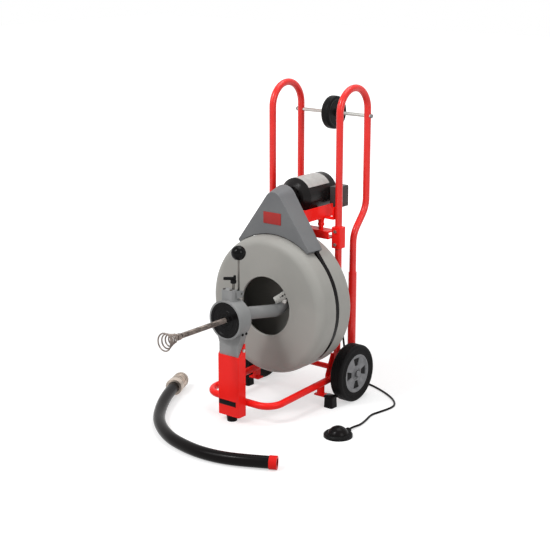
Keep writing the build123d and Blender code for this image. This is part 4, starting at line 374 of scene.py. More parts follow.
BADGE_MOULDING = Finish("badge_moulding", (174, 58, 56), (165, 54, 52), 0.40, specular=0.1, clouds=14.0)
NODE_FINISHES = {
    "left_handle": TUBE_PAINT,
    "right_handle": TUBE_PAINT,
    "leg_sleeves": TUBE_PAINT,
    "feed_lever": DARK_STEEL,
    "cover_screws": DARK_STEEL,
    "hose_coupling": COUPLING_STEEL,
    "switch_box": BOX_ENAMEL,
    "feed_face": FACE_MOULDING,
}


class Bench:
    """Models one mesh at a time with Blender's own operators, as by hand."""

    def __init__(self, name: str, add: Callable[..., Any], **sizes: Any) -> None:
        """Adds a primitive or a copy, alone in the selection.

        Args:
            name: The piece's name.
            add: What adds it.
            sizes: What the adding is given.
        """
        bpy.ops.object.select_all(action="DESELECT")
        add(**sizes)
        self.piece = bpy.context.active_object
        self.piece.name = name
        self.piece.data.name = name

    @contextmanager
    def editing(self) -> Iterator[None]:
        """Opens edit mode with everything selected and closes it with the mesh tidy."""
        bpy.ops.object.mode_set(mode="EDIT")
        bpy.ops.mesh.select_mode(type="VERT")
        bpy.ops.mesh.select_all(action="SELECT")
        yield
        bpy.ops.mesh.select_all(action="SELECT")
        bpy.ops.mesh.remove_doubles(threshold=MERGE_DISTANCE)
        bpy.ops.mesh.normals_make_consistent(inside=False)
        bpy.ops.object.mode_set(mode="OBJECT")

    def pick(self, test: Callable[[Vector], bool]) -> None:
        """Selects faces in edit mode.

        Args:
            test: Says of a face's middle whether it is selected.
        """
        bpy.ops.mesh.select_mode(type="FACE")
        bpy.ops.mesh.select_all(action="DESELECT")
        shape = bmesh.from_edit_mesh(self.piece.data)
        for face in shape.faces:
            face.select_set(test(face.calc_center_median()))
        shape.select_flush_mode()
        bmesh.update_edit_mesh(self.piece.data)

    @classmethod
    def turned(cls, name: str, profile: Profile, steps: int = 96) -> Bench:
        """Turns a piece about Z from a ring that is extruded and resized from point to point.

        Args:
            name: The piece's name.
            profile: The (along, radius) points in millimetres.
            steps: Sides of the ring.

        Returns:
            The bench with the turned piece.
        """
        along, radius = profile[0][0] * MM, max(profile[0][1], CLOSED_RADIUS) * MM
        ring = {"vertices": steps, "radius": radius, "location": (0.0, 0.0, along)}
        bench = cls(name, bpy.ops.mesh.primitive_circle_add, **ring)
        with bench.editing():
            for next_along, next_radius in profile[1:]:
                step = next_along * MM - along
                share = max(next_radius, CLOSED_RADIUS) * MM / radius
                bpy.ops.mesh.extrude_region_move(TRANSFORM_OT_translate={"value": (0.0, 0.0, step)})
                along, radius = along + step, radius * share
                bpy.ops.transform.resize(value=(share, share, 1.0), center_override=(0.0, 0.0, along))
        return bench

    @classmethod
    def block(cls, name: str, size: Point, edge: float, segments: int = 3) -> Bench:
        """Makes a block with rounded edges.

        Args:
            name: The piece's name.
            size: Its three sides in millimetres.
            edge: The radius of its edges in millimetres.
            segments: Faces across each edge.

        Returns:
            The bench with the block at the origin.
        """
        bench = cls(name, bpy.ops.mesh.primitive_cube_add, size=1.0)
        with bench.editing():
            bpy.ops.transform.resize(value=[side * MM for side in size])
            bpy.ops.mesh.bevel(offset=edge * MM, segments=segments, affect="EDGES")
        return bench

    def modify(self, kind: str, **settings: Any) -> Bench:
        """Adds a modifier and applies it.

        Args:
            kind: The modifier's type.
            settings: Its properties.

        Returns:
            The same bench.
        """
        select(self.piece)
        modifier = self.piece.modifiers.new(kind.lower(), kind)
        for key, value in settings.items():
            setattr(modifier, key, value)
        bpy.ops.object.modifier_apply(modifier=modifier.name)
        return self

    def put(self, place: Point, axis: Point = (0.0, 0.0, 1.0), roll: float = 0.0) -> Bench:
        """Turns and moves the piece and applies both.

        Args:
            place: Where its origin goes, in millimetres.
            axis: Where its Z turns to.
            roll: Its turn about its own Z before that, in radians.

        Returns:
            The same bench.
        """
        select(self.piece)
        turn = UP.rotation_difference(Vector(axis)).to_matrix().to_4x4()
        move = Matrix.Translation(Vector(place) * MM)
        self.piece.matrix_world = move @ turn @ Matrix.Rotation(roll, 4, "Z") @ self.piece.matrix_world
        bpy.ops.object.transform_apply(location=True, rotation=True, scale=True)
        return self

    def absorb(self, *others: Bench) -> Bench:
        """Joins other pieces into this one.

        Args:
            others: The benches of the pieces that are taken in.

        Returns:
            The same bench.
        """
        select(self.piece, *(bench.piece for bench in others))
        bpy.ops.object.join()
        return self

    def duplicate(self) -> None:
        """Duplicates the piece as it stands, with a mesh of its own."""
        select(self.piece)
        bpy.ops.object.duplicate()

    def copy(self, name: str) -> Bench:
        """A bench with a copy of the piece under a name."""
        return Bench(name, self.duplicate)

    def repeat(self, places: Sequence[Point], axis: Point = (0.0, 0.0, 1.0)) -> Bench:
        """Puts the piece and copies of it at places and joins them.

        Args:
            places: Where their origins go, in millimetres.
            axis: Where their Z turns to.

        Returns:
            The same bench, with them all.
        """
        copies = [self.copy(self.piece.name) for _ in places[1:]]
        for bench, place in zip((self, *copies), places):
            bench.put(place, axis)
        return self.absorb(*copies)


class Assembly:
    """A group of pieces that are dressed together."""

    def dress(
        self, piece: bpy.types.Object, slot: Slot, body: str, *nodes: str, finish: Finish | None = None,
    ) -> None:
        """Gives a finished piece its finish and its body.

        Args:
            piece: The new piece, in place.
            slot: The record's slot that it takes its finish from.
            body: The body that it rides on.
            nodes: The CAD nodes that it stands for.
            finish: A finish of its own, where it isn't the slot's.
        """
        if piece.type == "MESH":
            select(piece)
            bpy.ops.object.shade_smooth_by_angle(angle=SMOOTH_ANGLE)
        piece.data.materials.clear()
        piece.data.materials.append((finish or slot.value).material())
        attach(piece, body)
        if nodes:
            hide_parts(*nodes)
        LOG.info("%s rides on %s", piece.name, body)


def lay_curve(
    name: str, kind: str, route: Sequence[Point], diameter: float, caps: bool = True,
) -> bpy.types.Object:
    """Lays a round cord or wire along a spline.

    Args:
        name: The piece's name.
        kind: NURBS for a smooth line near its points, POLY for close points of a formula.
        route: The spline's points in metres.
        diameter: The cord's diameter in metres.
        caps: Whether its ends are closed.

    Returns:
        The curve.
    """
    data = bpy.data.curves.new(name, "CURVE")
    data.dimensions = "3D"
    data.resolution_u = CURVE_STEPS
    data.bevel_depth = diameter / 2.0
    data.bevel_resolution = ROUND_STEPS
    data.use_fill_caps = caps
    spline = data.splines.new(kind)
    spline.points.add(len(route) - 1)
    for point, place in zip(spline.points, route):
        point.co = (*place, 1.0)
    if kind == "NURBS":
        spline.order_u = SPLINE_ORDER
        spline.use_endpoint_u = True
    piece = bpy.data.objects.new(name, data)
    bpy.context.scene.collection.objects.link(piece)
    return piece


@dataclass(frozen=True)
class Lamp:
    """A square soft lamp, with its place and side in metres and its power in watts."""

    name: str
    place: Point
    side: float
    power: float


@dataclass
class Studio:
    """Camera, pale floor and soft light, in metres and degrees, with the lens in millimetres."""

    place: Point = (2.77762, -3.56747, 1.68349)
    azimuth: float = 38.41
    elevation: float = 15.09
    lens: float = 84.88
    sensor: float = 36.0
    far_clip: float = 60.0
    floor_size: float = 30.0
    floor_cuts: int = 3
    floor_roughness: float = 0.9
    floor_specular: float = 0.1
    sky: float = 0.45
    glow: tuple[float, float] = (0.54, 1.0)
    glow_reach: tuple[float, float] = (1.0, 3.2)
    bounce: float = 0.55
    aim: Point = (0.0, 0.0, 0.5)
    lamps: tuple[Lamp, ...] = (
        Lamp("key", (-1.2, -3.2, 3.2), 1.8, 42.0),
        Lamp("glint", (-0.7, -3.1, 4.0), 0.6, 60.0),
        Lamp("side", (3.2, -0.6, 2.0), 1.6, 32.0),
        Lamp("top", (0.2, 0.6, 3.6), 2.0, 42.0),
    )

    def camera(self) -> None:
        """Stands the camera where the photograph was taken from."""
        data = bpy.data.cameras.new("camera")
        data.lens = self.lens
        data.sensor_width = self.sensor
        data.clip_end = self.far_clip
        camera = bpy.data.objects.new("camera", data)
        camera.location = self.place
        camera.rotation_euler = (math.radians(90.0 - self.elevation), 0.0, math.radians(self.azimuth))
        bpy.context.scene.collection.objects.link(camera)
        bpy.context.scene.camera = camera

    def floor(self) -> None:
        """Lays a pale floor that looks white to the camera and keeps the shadows."""
        bench = Bench("floor", bpy.ops.mesh.primitive_plane_add, size=self.floor_size)
        with bench.editing():
            bpy.ops.mesh.subdivide(number_cuts=self.floor_cuts)
        material = bpy.data.materials.new("pale_floor")
        net = Net(material)
        away = net.add("ShaderNodeVectorMath", {"operation": "LENGTH"}, {0: net.places()}, "Value")
        glow = net.mix(away.spread(*self.glow_reach), *(self.grey(level) for level in self.glow))
        net.close("ShaderNodeBsdfPrincipled", {
            "Base Color": self.grey(self.bounce),
            "Roughness": self.floor_roughness,
            "Specular IOR Level": self.floor_specular,
            "Emission Color": net.mix(self.seen(net), self.grey(0.0), glow),
            "Emission Strength": 1.0,
        })
        bench.piece.data.materials.append(material)

    @staticmethod
    def grey(level: float) -> tuple[float, float, float, float]:
        """A linear grey."""
        return (level, level, level, 1.0)

    @staticmethod
    def seen(net: Net) -> Wire:
        """Tells the rays that show the background from the others.

        Args:
            net: The net that asks.

        Returns:
            A share of 1 for rays from the camera, a mirror or glass and 0 for others.
        """
        kinds = ("Is Camera Ray", "Is Glossy Ray", "Is Transmission Ray")
        first, second, third = (net.add("ShaderNodeLightPath", {}, {}, kind) for kind in kinds)
        return (first + second + third).spread(0.0, 1.0)

    def sky_light(self) -> None:
        """Fills the room with even light under a white background."""
        world = bpy.data.worlds.new("studio")
        bpy.context.scene.world = world
        net = Net(world)
        colour = net.mix(self.seen(net), self.grey(self.sky), self.grey(1.0))
        net.close("ShaderNodeBackground", {"Color": colour, "Strength": 1.0}, "ShaderNodeOutputWorld")

    def hang(self, lamp: Lamp) -> None:
        """Hangs a lamp that looks at the machine.

        Args:
            lamp: Its place, side and power.
        """
        data = bpy.data.lights.new(lamp.name, "AREA")
        data.size = lamp.side
        data.energy = lamp.power
        light = bpy.data.objects.new(lamp.name, data)
        light.location = lamp.place
        light.rotation_mode = "QUATERNION"
        light.rotation_quaternion = (Vector(self.aim) - Vector(lamp.place)).to_track_quat("-Z", "Y")
        bpy.context.scene.collection.objects.link(light)

    def build(self) -> None:
        """Sets up the whole studio."""
        self.camera()
        self.floor()
        self.sky_light()
        for lamp in self.lamps:
            self.hang(lamp)
        bpy.context.scene.view_settings.view_transform = "Standard"
        LOG.info("studio ready")


@dataclass
class Hoses(Assembly):
    """The foot switch's air hose and the guide hose in front, in metres with routes in millimetres."""

    pedal_diameter: float = 0.008
    pedal_length: float = 1.265
    guide_diameter: float = 0.042
    guide_wall: float = 0.006
    guide_length: float = 0.93
    guide_round_steps: int = 12

    def pedal_hose(self) -> None:
        """Runs the air hose down from the switch box and over the floor to the foot switch."""
        route = metres(
            (89.5, 197.5, 673.0), (89.5, 197.5, 604.0), (90.0, 201.0, 510.0), (90.5, 207.0, 405.0),
            (91.5, 216.0, 300.0), (93.0, 228.0, 200.0), (96.0, 243.0, 110.0), (104.0, 265.0, 40.0),
            (132.0, 284.0, 9.0), (175.0, 289.0, 4.4), (222.0, 273.0, 4.4), (285.0, 243.0, 4.4),
            (337.0, 208.0, 4.4), (370.0, 171.0, 4.4), (380.5, 136.0, 4.4), (369.0, 67.0, 4.4),
            (361.0, 30.0, 4.4), (377.0, -25.0, 4.4), (386.0, -74.0, 4.4), (384.0, -106.0, 8.0),
            (384.0, -135.0, 8.0),
        )
        piece = lay_curve("air_hose", "NURBS", route, self.pedal_diameter)
        self.dress(piece, Slot.BLACK_RUBBER, "frame", "pedal_hose")

    def guide_hose(self) -> None:
        """Lays the thick guide hose, with its bore, on the floor."""
        route = metres(
            (-340.0, -232.0, 31.0), (-296.0, -330.0, 31.0), (-202.0, -471.0, 21.0), (-121.0, -545.0, 21.0),
            (-33.0, -597.0, 21.0), (45.0, -620.0, 21.0), (135.0, -632.0, 21.0), (225.0, -621.0, 21.0),
            (312.0, -589.0, 23.0), (390.0, -547.0, 23.0),
        )
        piece = lay_curve("guide_hose_line", "NURBS", route, self.guide_diameter, caps=False)
        piece.data.bevel_resolution = self.guide_round_steps
        wall = piece.modifiers.new("wall", "SOLIDIFY")
        wall.thickness = self.guide_wall
        wall.offset = -1.0
        self.dress(piece, Slot.BLACK_RUBBER, "frame", "guide_hose")

    def build(self) -> None:
        """Makes both hoses."""
        self.pedal_hose()
        self.guide_hose()


@dataclass
class Cable(Assembly):
    """The drain cable in front of the feed unit, its auger and its turns inside the drum, in millimetres."""

    axis_z: float = 375.0
    exit_y: float = -290.625
    shank_end_y: float = -336.5
    end_y: float = -569.5
    diameter: float = 19.0
    wire: float = 4.0
    wire_turns: int = 43
    wire_steps: int = 16
    wire_round_steps: int = 2
    core_room: float = 0.4
    coupling_radius: float = 11.5
    coupling_length: float = 14.0
    coupling_edge: float = 1.0
    coupling_groove: float = 1.5
    groove_floor: float = 0.5
    auger_wire: float = 5.0
    auger_turns: int = 5
    auger_opening: float = 0.25
    auger_length: float = 60.0
    auger_radii: tuple[float, float] = (13.0, 32.0)
    auger_flare: float = 1.6
    auger_tail: float = 24.0
    wind_radius: float = 215.1
    wind_pitch: float = 20.2
    wind_turns: int = 5
    wind_start_y: float = -82.0
    wind_steps: int = 48
    core_radii: tuple[float, float] = (224.8, 238.8)
    tube_turn_y: float = -232.0
    tube_reach: float = 45.0
    tube_rise: float = 62.0
    drum_turn: float = 20.0

    def place(self, radius: float, y: float, turn: float) -> Point:
        """Place in metres at a radius and a turn about the drum's axis."""
        return (radius * math.cos(turn) * MM, y * MM, (self.axis_z + radius * math.sin(turn)) * MM)

    def auger(self) -> list[str]:
        """Makes the coupling and the wire that opens out in growing turns.

        Returns:
            The names of the two pieces.
        """
        radius, length, groove = self.coupling_radius, self.coupling_length, self.coupling_groove
        neck = (length / 2.0 - groove, length / 2.0 - self.groove_floor)
        profile = waisted(radius, radius - groove, length, self.coupling_edge, neck)
        coupling = Bench.turned("auger_coupling", profile)
        coupling.put((0.0, self.end_y, self.axis_z), (0.0, -1.0, 0.0))
        start_y = self.end_y - length
        small, large = self.auger_radii
        inner = radius - self.auger_wire
        places = [self.place(inner, start_y, 0.0)]
        count = self.auger_turns * self.wind_steps
        for index in range(count + 1):
            share = index / count
            opened = min(1.0, self.auger_turns * share / self.auger_opening)
            grown = inner + (small - inner) * opened + (large - small) * share**self.auger_flare
            y = start_y - self.auger_wire - self.auger_length * share
            places.append(self.place(grown, y, share * self.auger_turns * TURN))
        before, last = Vector(places[-2]), Vector(places[-1])
        places.append(tuple(last + (last - before).normalized() * self.auger_tail * MM))
        wire = lay_curve("auger_wire", "POLY", places, self.auger_wire * MM)
        self.dress(coupling.piece, Slot.CABLE_STEEL, "drum", "auger")
        self.dress(wire, Slot.CABLE_STEEL, "drum")
        return [coupling.piece.name, wire.name]

    def line(self, on_it: list[str]) -> None:
        """Makes the free cable: a core, a plain shank in the feed unit and the wire wound round it.

        Args:
            on_it: The names of the pieces on its end; not used.
        """
        first, last = self.shank_end_y - self.wire, self.end_y + self.wire
        outer = self.diameter / 2.0
        winding = outer - self.wire / 2.0
        count = self.wire_turns * self.wire_steps
        places = []
        for index in range(count + 1):
            y = first + (last - first) * index / count
            places.append(self.place(winding, y, index / self.wire_steps * TURN))
        wire = lay_curve("free_cable", "POLY", places, self.wire * MM)
        wire.data.bevel_resolution = self.wire_round_steps
        select(wire)
        bpy.ops.object.convert(target="MESH")
        core = winding - self.wire / 2.0 - self.core_room
        shank = Bench.turned("cable_core", [
            (-self.exit_y, 0.0), (-self.exit_y, outer), (-self.shank_end_y, outer),
            (-self.shank_end_y, core), (-self.end_y, core), (-self.end_y, 0.0),
        ], steps=32).put((0.0, 0.0, self.axis_z), (0.0, -1.0, 0.0))
        select(wire, shank.piece)
        bpy.ops.object.join()
        self.dress(wire, Slot.CABLE_STEEL, "drum", "drain_cable")
        path = metres(*[(0.0, y, self.axis_z) for y in (self.exit_y, self.shank_end_y, self.end_y)])

    def winding(self) -> None:
        """Winds the cable inside the drum: through the tube, out to the wall and round it in turns."""
        start_y, reach = self.wind_start_y, self.tube_reach
        # The lead is an arc from the tube's end that meets the first turn without a kink
        lead_z = self.tube_rise + self.diameter
        lead_radius = (self.wind_radius**2 - reach**2 - lead_z**2) / (2.0 * (self.wind_radius - reach))
        lead_x = reach - lead_radius
        meet = math.atan2(lead_z, lead_x)
        flat = [(0.0, self.exit_y, 0.0), (0.0, self.tube_turn_y, 0.0), (reach, start_y, 0.0)]
        quarter = self.wind_steps // 4
        for index in range(quarter + 1):
            turn = meet * index / quarter
            x = lead_x + lead_radius * math.cos(turn)
            z = lead_z + lead_radius * math.sin(turn)
            flat.append((x, start_y, z))
        for index in range(1, self.wind_turns * self.wind_steps + 1):
            turn = meet + TURN * index / self.wind_steps
            y = start_y + self.wind_pitch * index / self.wind_steps
            flat.append((self.wind_radius * math.cos(turn), y, self.wind_radius * math.sin(turn)))
        lean = Matrix.Rotation(math.radians(self.drum_turn), 3, "Y")
        turned = [lean @ Vector(place) for place in flat]
        places = metres(*[(x, y, z + self.axis_z) for x, y, z in turned])
        turns = lay_curve("wound_cable", "POLY", places, self.diameter * MM)
        inner, outer = self.core_radii
        low = start_y - self.diameter / 2.0
        high = start_y + self.wind_pitch * self.wind_turns + self.diameter / 2.0
        layers = Bench.turned("cable_layers", [
            (low, inner), (low, outer), (high, outer), (high, inner), (low, inner),
        ]).put((0.0, 0.0, self.axis_z), (0.0, 1.0, 0.0))
        self.dress(turns, Slot.CABLE_STEEL, "drum", "cable_winding")
        self.dress(layers.piece, Slot.CABLE_STEEL, "drum")

    def build(self) -> None:
        """Makes the auger, the free cable and the turns in the drum."""
        self.line(self.auger())
        self.winding()


@dataclass
class Wheels(Assembly):
    """The ribbed tyres and the rounded loading wheel, in millimetres."""

    tyre_x: float = 211.0
    axle_y: float = 122.6
    tyre_radius: float = 106.0
    bead_radius: float = 71.0
    bead_edge: float = 2.0
    tyre_half: float = 25.0
    shoulder: float = 9.0
    wall_grooves: tuple[float, ...] = (78.0, 82.5, 87.0, 91.5)
    wall_depth: float = 1.1
    wall_halves: tuple[float, float] = (1.2, 0.6)
    tread_grooves: tuple[float, ...] = (11.0, 4.0)
    tread_depth: float = 2.2
    tread_halves: tuple[float, float] = (1.4, 0.9)
    loading_place: Point = (0.0, 282.5, 1022.8)
    loading_radius: float = 60.9
    loading_half: float = 17.0
    loading_shoulder: float = 9.0
    loading_bore: float = 6.6
    boss_proud: float = 4.0
    boss_radii: tuple[float, float] = (13.0, 15.0)
    boss_edge: float = 1.0
    dish_depth: float = 5.0
    dish_rims: tuple[float, float] = (8.0, 5.0)
    rim_drop: float = 1.5

    def tyres(self) -> None:
        """Turns a tyre with grooved walls and a grooved tread and copies it to the other side."""
        wide, crown, edge = self.tyre_half, self.tyre_radius, self.shoulder
        half = [(wide - self.bead_edge, self.bead_radius), (wide, self.bead_radius + self.bead_edge)]
        mouth, floor = self.wall_halves
        sunk = wide - self.wall_depth
        for groove in self.wall_grooves:
            half += [(wide, groove - mouth), (sunk, groove - floor)]
            half += [(sunk, groove + floor), (wide, groove + mouth)]
        half += quarter_arc((wide - edge, crown - edge), edge)
        mouth, floor = self.tread_halves
        sunk = crown - self.tread_depth
        for groove in self.tread_grooves:
            half += [(groove + mouth, crown), (groove + floor, sunk)]
            half += [(groove - floor, sunk), (groove - mouth, crown)]
        tyre = Bench.turned("left_ribbed_tyre", both_sides(half), steps=128)
        for bench, (side, name) in zip((tyre, tyre.copy("right_ribbed_tyre")), SIDES):
            bench.put((side * self.tyre_x, self.axle_y, self.tyre_radius), (1.0, 0.0, 0.0))
            self.dress(bench.piece, Slot.TYRE_RUBBER, f"{name}_wheel", f"{name}_tyre")

    def loading_wheel(self) -> None:
        """Turns the solid wheel that the machine is loaded on."""
        wide, edge = self.loading_half, self.loading_shoulder
        rim = self.loading_radius - edge
        proud, dish = wide + self.boss_proud, wide - self.dish_depth
        boss, boss_root = self.boss_radii
        dish_rim, land = (rim - width for width in self.dish_rims)
        half = [
            (proud, self.loading_bore), (proud, boss - self.boss_edge), (proud - self.boss_edge, boss),
            (dish, boss_root), (dish, dish_rim), (wide - self.rim_drop, land),
            *quarter_arc((wide - edge, rim), edge, steps=12),
        ]
        wheel = Bench.turned("solid_wheel", both_sides(half), steps=128)
        wheel.put(self.loading_place, (1.0, 0.0, 0.0))
        self.dress(wheel.piece, Slot.BLACK_PLASTIC, "loading_wheel", "loading_wheel")

    def build(self) -> None:
        """Makes the three wheels."""
        self.tyres()
        self.loading_wheel()


@dataclass
class Hubs(Assembly):
    """The main wheels' hubs, whose windows get black floors as painted shade, in millimetres out from the
    wheel's middle.
    """

    middle_x: float = 211.0
    axle: tuple[float, float] = (122.6, 106.0)
    bore: float = 8.1
    boss_ends: tuple[float, float] = (-34.6, 24.6)
    boss_radius: float = 19.0
    boss_root: float = 3.0
    boss_tip: tuple[float, float] = (1.5, 3.0)
    rim_ends: tuple[float, float] = (-15.0, 23.0)
    rim_radius: float = 70.8
    rim_width: float = 6.0
    rim_edge: float = 1.0
    rim_slope: float = 4.0
    disc_ends: tuple[float, float] = (-7.0, 20.0)
    ridge: float = 22.5
    ridge_steps: tuple[float, ...] = (5.5, 4.0, 1.5, 0.5)
    windows: int = 4
    window_radii: tuple[float, float] = (28.0, 57.5)
    window_widths: tuple[float, float] = (19.0, 36.0)
    window_floor: float = 16.0
    window_top: float = 26.0
    window_edge: float = 2.5
    narrow_share: float = 0.3
    shade_floor_thickness: float = 1.0
    shade_floor_room: float = 0.3
    seal_radii: tuple[float, float] = (11.6, 15.6)
    seal_proud: float = 0.5
    seal_edge: float = 0.5

    def wedges(self, name: str, top: float, room: float) -> Bench:
        """Makes the wedges that fill the windows from their floor up.

        Args:
            name: The name of the joined wedges.
            top: The height that they reach.
            room: How far their walls are drawn in.

        Returns:
            The bench with them all.
        """
        near, far = self.window_radii
        narrow, wide = (width - 2.0 * room for width in self.window_widths)
        length, depth = far - near - 2.0 * room, top - self.window_floor
        wedge = Bench.block(name, (wide, length, depth), min(self.window_edge, depth / 3.0))
        with wedge.editing():
            wedge.pick(lambda middle: middle.y < -self.narrow_share * length * MM)
            bpy.ops.transform.resize(value=(narrow / wide, 1.0, 1.0), center_override=(0.0, 0.0, 0.0))
        wedge.put((0.0, (near + far) / 2.0, self.window_floor + depth / 2.0))
        copies = [wedge.copy(name) for _ in range(1, self.windows)]
        for index, bench in enumerate(copies, 1):
            bench.put((0.0, 0.0, 0.0), roll=index * TURN / self.windows)
        return wedge.absorb(*copies)

    def seal(self) -> Bench:
        """Turns the dark seal on the boss, round the axle's cap.

        Returns:
            The bench with it.
        """
        inner, outer = self.seal_radii
        low, high = self.boss_ends[1] - self.seal_proud, self.boss_ends[1] + self.seal_proud
        crown = (inner + outer) / 2.0
        return Bench.turned("seal", [
            (low, inner), (high, inner + self.seal_edge), (high, crown), (low, outer), (low, inner),
        ], steps=64)

    def hub(self, name: str) -> Bench:
        """Turns a hub with a ringed boss and a stepped rim and cuts its windows.

        Args:
            name: The hub's name.

        Returns:
            The bench with it.
        """
        boss, rim = self.boss_radius, self.rim_radius
        land = rim - self.rim_width
        boss_back, boss_front = self.boss_ends
        rim_back, rim_front = self.rim_ends
        back, front = self.disc_ends
        foot_out, crest_out, crest_in, foot_in = (boss + step for step in self.ridge_steps)
        tip_wide, tip_narrow = (boss - step for step in self.boss_tip)
        hub = Bench.turned(name, [
            (boss_back, self.bore), (boss_back, boss), (back, boss + self.boss_root),
            (back, land - self.rim_slope), (rim_back, land), (rim_back, rim), (rim_front, rim),
            (rim_front, land), (rim_front - self.rim_edge, land - self.rim_edge),
            (front, land - self.rim_edge - self.rim_slope), (front, foot_out), (self.ridge, crest_out),
            (self.ridge, crest_in), (front, foot_in), (front, tip_wide), (boss_front, tip_narrow),
            (boss_front, self.bore), (boss_back, self.bore),
        ], steps=128)
        cutter = self.wedges("window_cutter", self.window_top, 0.0)
        hub.modify("BOOLEAN", operation="DIFFERENCE", object=cutter.piece)
        bpy.data.objects.remove(cutter.piece)
        return hub

    def build(self) -> None:
        """Makes a hub with black floors in its windows, painted shade that darkens them like deep holes, and
        copies both to the other side.
        """
        hub = self.hub("left_wheel_hub")
        # Painted shade: thin black wedges on the windows' floors make the shallow windows look like dark
        # through holes.
        top = self.window_floor + self.shade_floor_thickness
        shade_floors = self.wedges("left_window_floors", top, self.shade_floor_room).absorb(self.seal())
        left, right = (hub, shade_floors), (hub.copy("right_wheel_hub"), shade_floors.copy("right_shade_floors_and_seal"))
        for (side, name), (hub, shade_floors) in zip(SIDES, (left, right)):
            place, axis = (side * self.middle_x, *self.axle), (side, 0.0, 0.0)
            self.dress(hub.put(place, axis).piece, Slot.HUB_PLASTIC, f"{name}_wheel", f"{name}_hub")
            self.dress(shade_floors.put(place, axis).piece, Slot.BLACK_PLASTIC, f"{name}_wheel")


@dataclass
class Plates(Assembly):
    """The bare plates, a black strip painted as the shadow line along the guard's arc, and the switch box's
    lid, in millimetres.
    """

    motor_z: float = 744.0
    plate_radius: float = 68.4
    plate_turns: tuple[float, float] = (34.0, 110.0)
    plate_ends: tuple[float, float] = (58.0, 182.0)
    plate_thickness: float = 0.6
    badge_size: Point = (78.0, 2.4, 42.0)
    badge_place: Point = (-3.0, -77.0, 687.0)
    badge_edge: float = 0.9
    strip_size: Point = (76.0, 1.6, 18.0)
    strip_place: Point = (-5.0, -326.6, 69.0)
    strip_edge: float = 0.6
    lid_size: Point = (2.6, 58.0, 69.0)
    lid_place: Point = (109.1, 197.5, 735.0)
    lid_edge: float = 1.0
    screw_inset: float = 6.0
    screw_sink: float = 0.3
    screw_radius: float = 2.8
    screw_height: float = 1.8
    screw_edge: float = 0.6
    socket_radii: tuple[float, float] = (1.2, 1.0)
    socket_depth: float = 1.0
    drum_z: float = 375.0
    shadow_strip_radius: float = 253.8
    shadow_strip_turns: tuple[float, float] = (57.5, 122.5)
    shadow_strip_ends: tuple[float, float] = (-74.0, -70.5)
    shadow_strip_thickness: float = 2.2

    @staticmethod
    def bent(name: str, ends: Profile, turns: tuple[float, float], height: float, thickness: float) -> Bench:
        """Bends a strip about an axis along Y.

        Args:
            name: The strip's name.
            ends: The (along, radius) points of its two edges in millimetres.
            turns: Where it starts and ends round the axis, in degrees from +X.
            height: The axis's height in millimetres.
            thickness: The strip's thickness in millimetres.

        Returns:
            The bench with the strip in place.
        """
        first, last = (math.radians(turn) for turn in turns)
        bench = Bench.turned(name, ends, steps=180).put((0.0, 0.0, height), (0.0, 1.0, 0.0))
        with bench.editing():
            bench.pick(lambda middle: not first < math.atan2(middle.z - height * MM, middle.x) < last)
            bpy.ops.mesh.delete(type="FACE")
        return bench.modify("SOLIDIFY", thickness=thickness * MM, offset=0.0)

    def strips(self) -> None:
        """Bends a blank alloy plate round the motor and a black strip along the guard's arc, painted shadow
        for the shade line between guard and drum.
        """
        ends = [(end, self.plate_radius) for end in self.plate_ends]
        plate = self.bent("motor_plate_blank", ends, self.plate_turns, self.motor_z, self.plate_thickness)
        self.dress(plate.piece, Slot.ZINC_STEEL, "frame", finish=PLATE_ALLOY)
        # Painted shadow: a thin black band along the guard's arc stands for the shade line where it meets
        # the drum.
        ends = [(end, self.shadow_strip_radius) for end in self.shadow_strip_ends]
        shadow_strip = self.bent("guard_lip", ends, self.shadow_strip_turns, self.drum_z, self.shadow_strip_thickness)
        self.dress(shadow_strip.piece, Slot.BLACK_RUBBER, "frame")

    def box_lid(self) -> None:
        """Closes the switch box with a lid on four screws."""
        x, y, z = self.lid_place
        depth, width, height = self.lid_size
        across, up = width / 2.0 - self.screw_inset, height / 2.0 - self.screw_inset
        face = x + depth / 2.0 - self.screw_sink
        corners = [(face, y + side * across, z + end * up) for side in (-1, 1) for end in (-1, 1)]
        mouth, floor = self.socket_radii
        high, low = self.screw_height, self.screw_height - self.socket_depth
        head = rod(self.screw_radius, 0.0, high, self.screw_edge)[:-1]
        screws = Bench.turned("lid_screws", [*head, (high, mouth), (low, floor), (low, 0.0)], steps=24)
        lid = Bench.block("box_lid", self.lid_size, self.lid_edge).put(self.lid_place)
        lid.absorb(screws.repeat(corners, (1.0, 0.0, 0.0)))
        self.dress(lid.piece, Slot.BLACK_PLASTIC, "frame", finish=BOX_ENAMEL)

    def build(self) -> None:
        """Makes the plates, the painted-shadow strip and the lid."""
        badge = Bench.block("guard_badge", self.badge_size, self.badge_edge).put(self.badge_place)
        self.dress(badge.piece, Slot.RED_PLASTIC, "frame", finish=BADGE_MOULDING)
        strip = Bench.block("column_strip", self.strip_size, self.strip_edge).put(self.strip_place)
        self.dress(strip.piece, Slot.BLACK_PLASTIC, "frame")
        self.strips()
        self.box_lid()


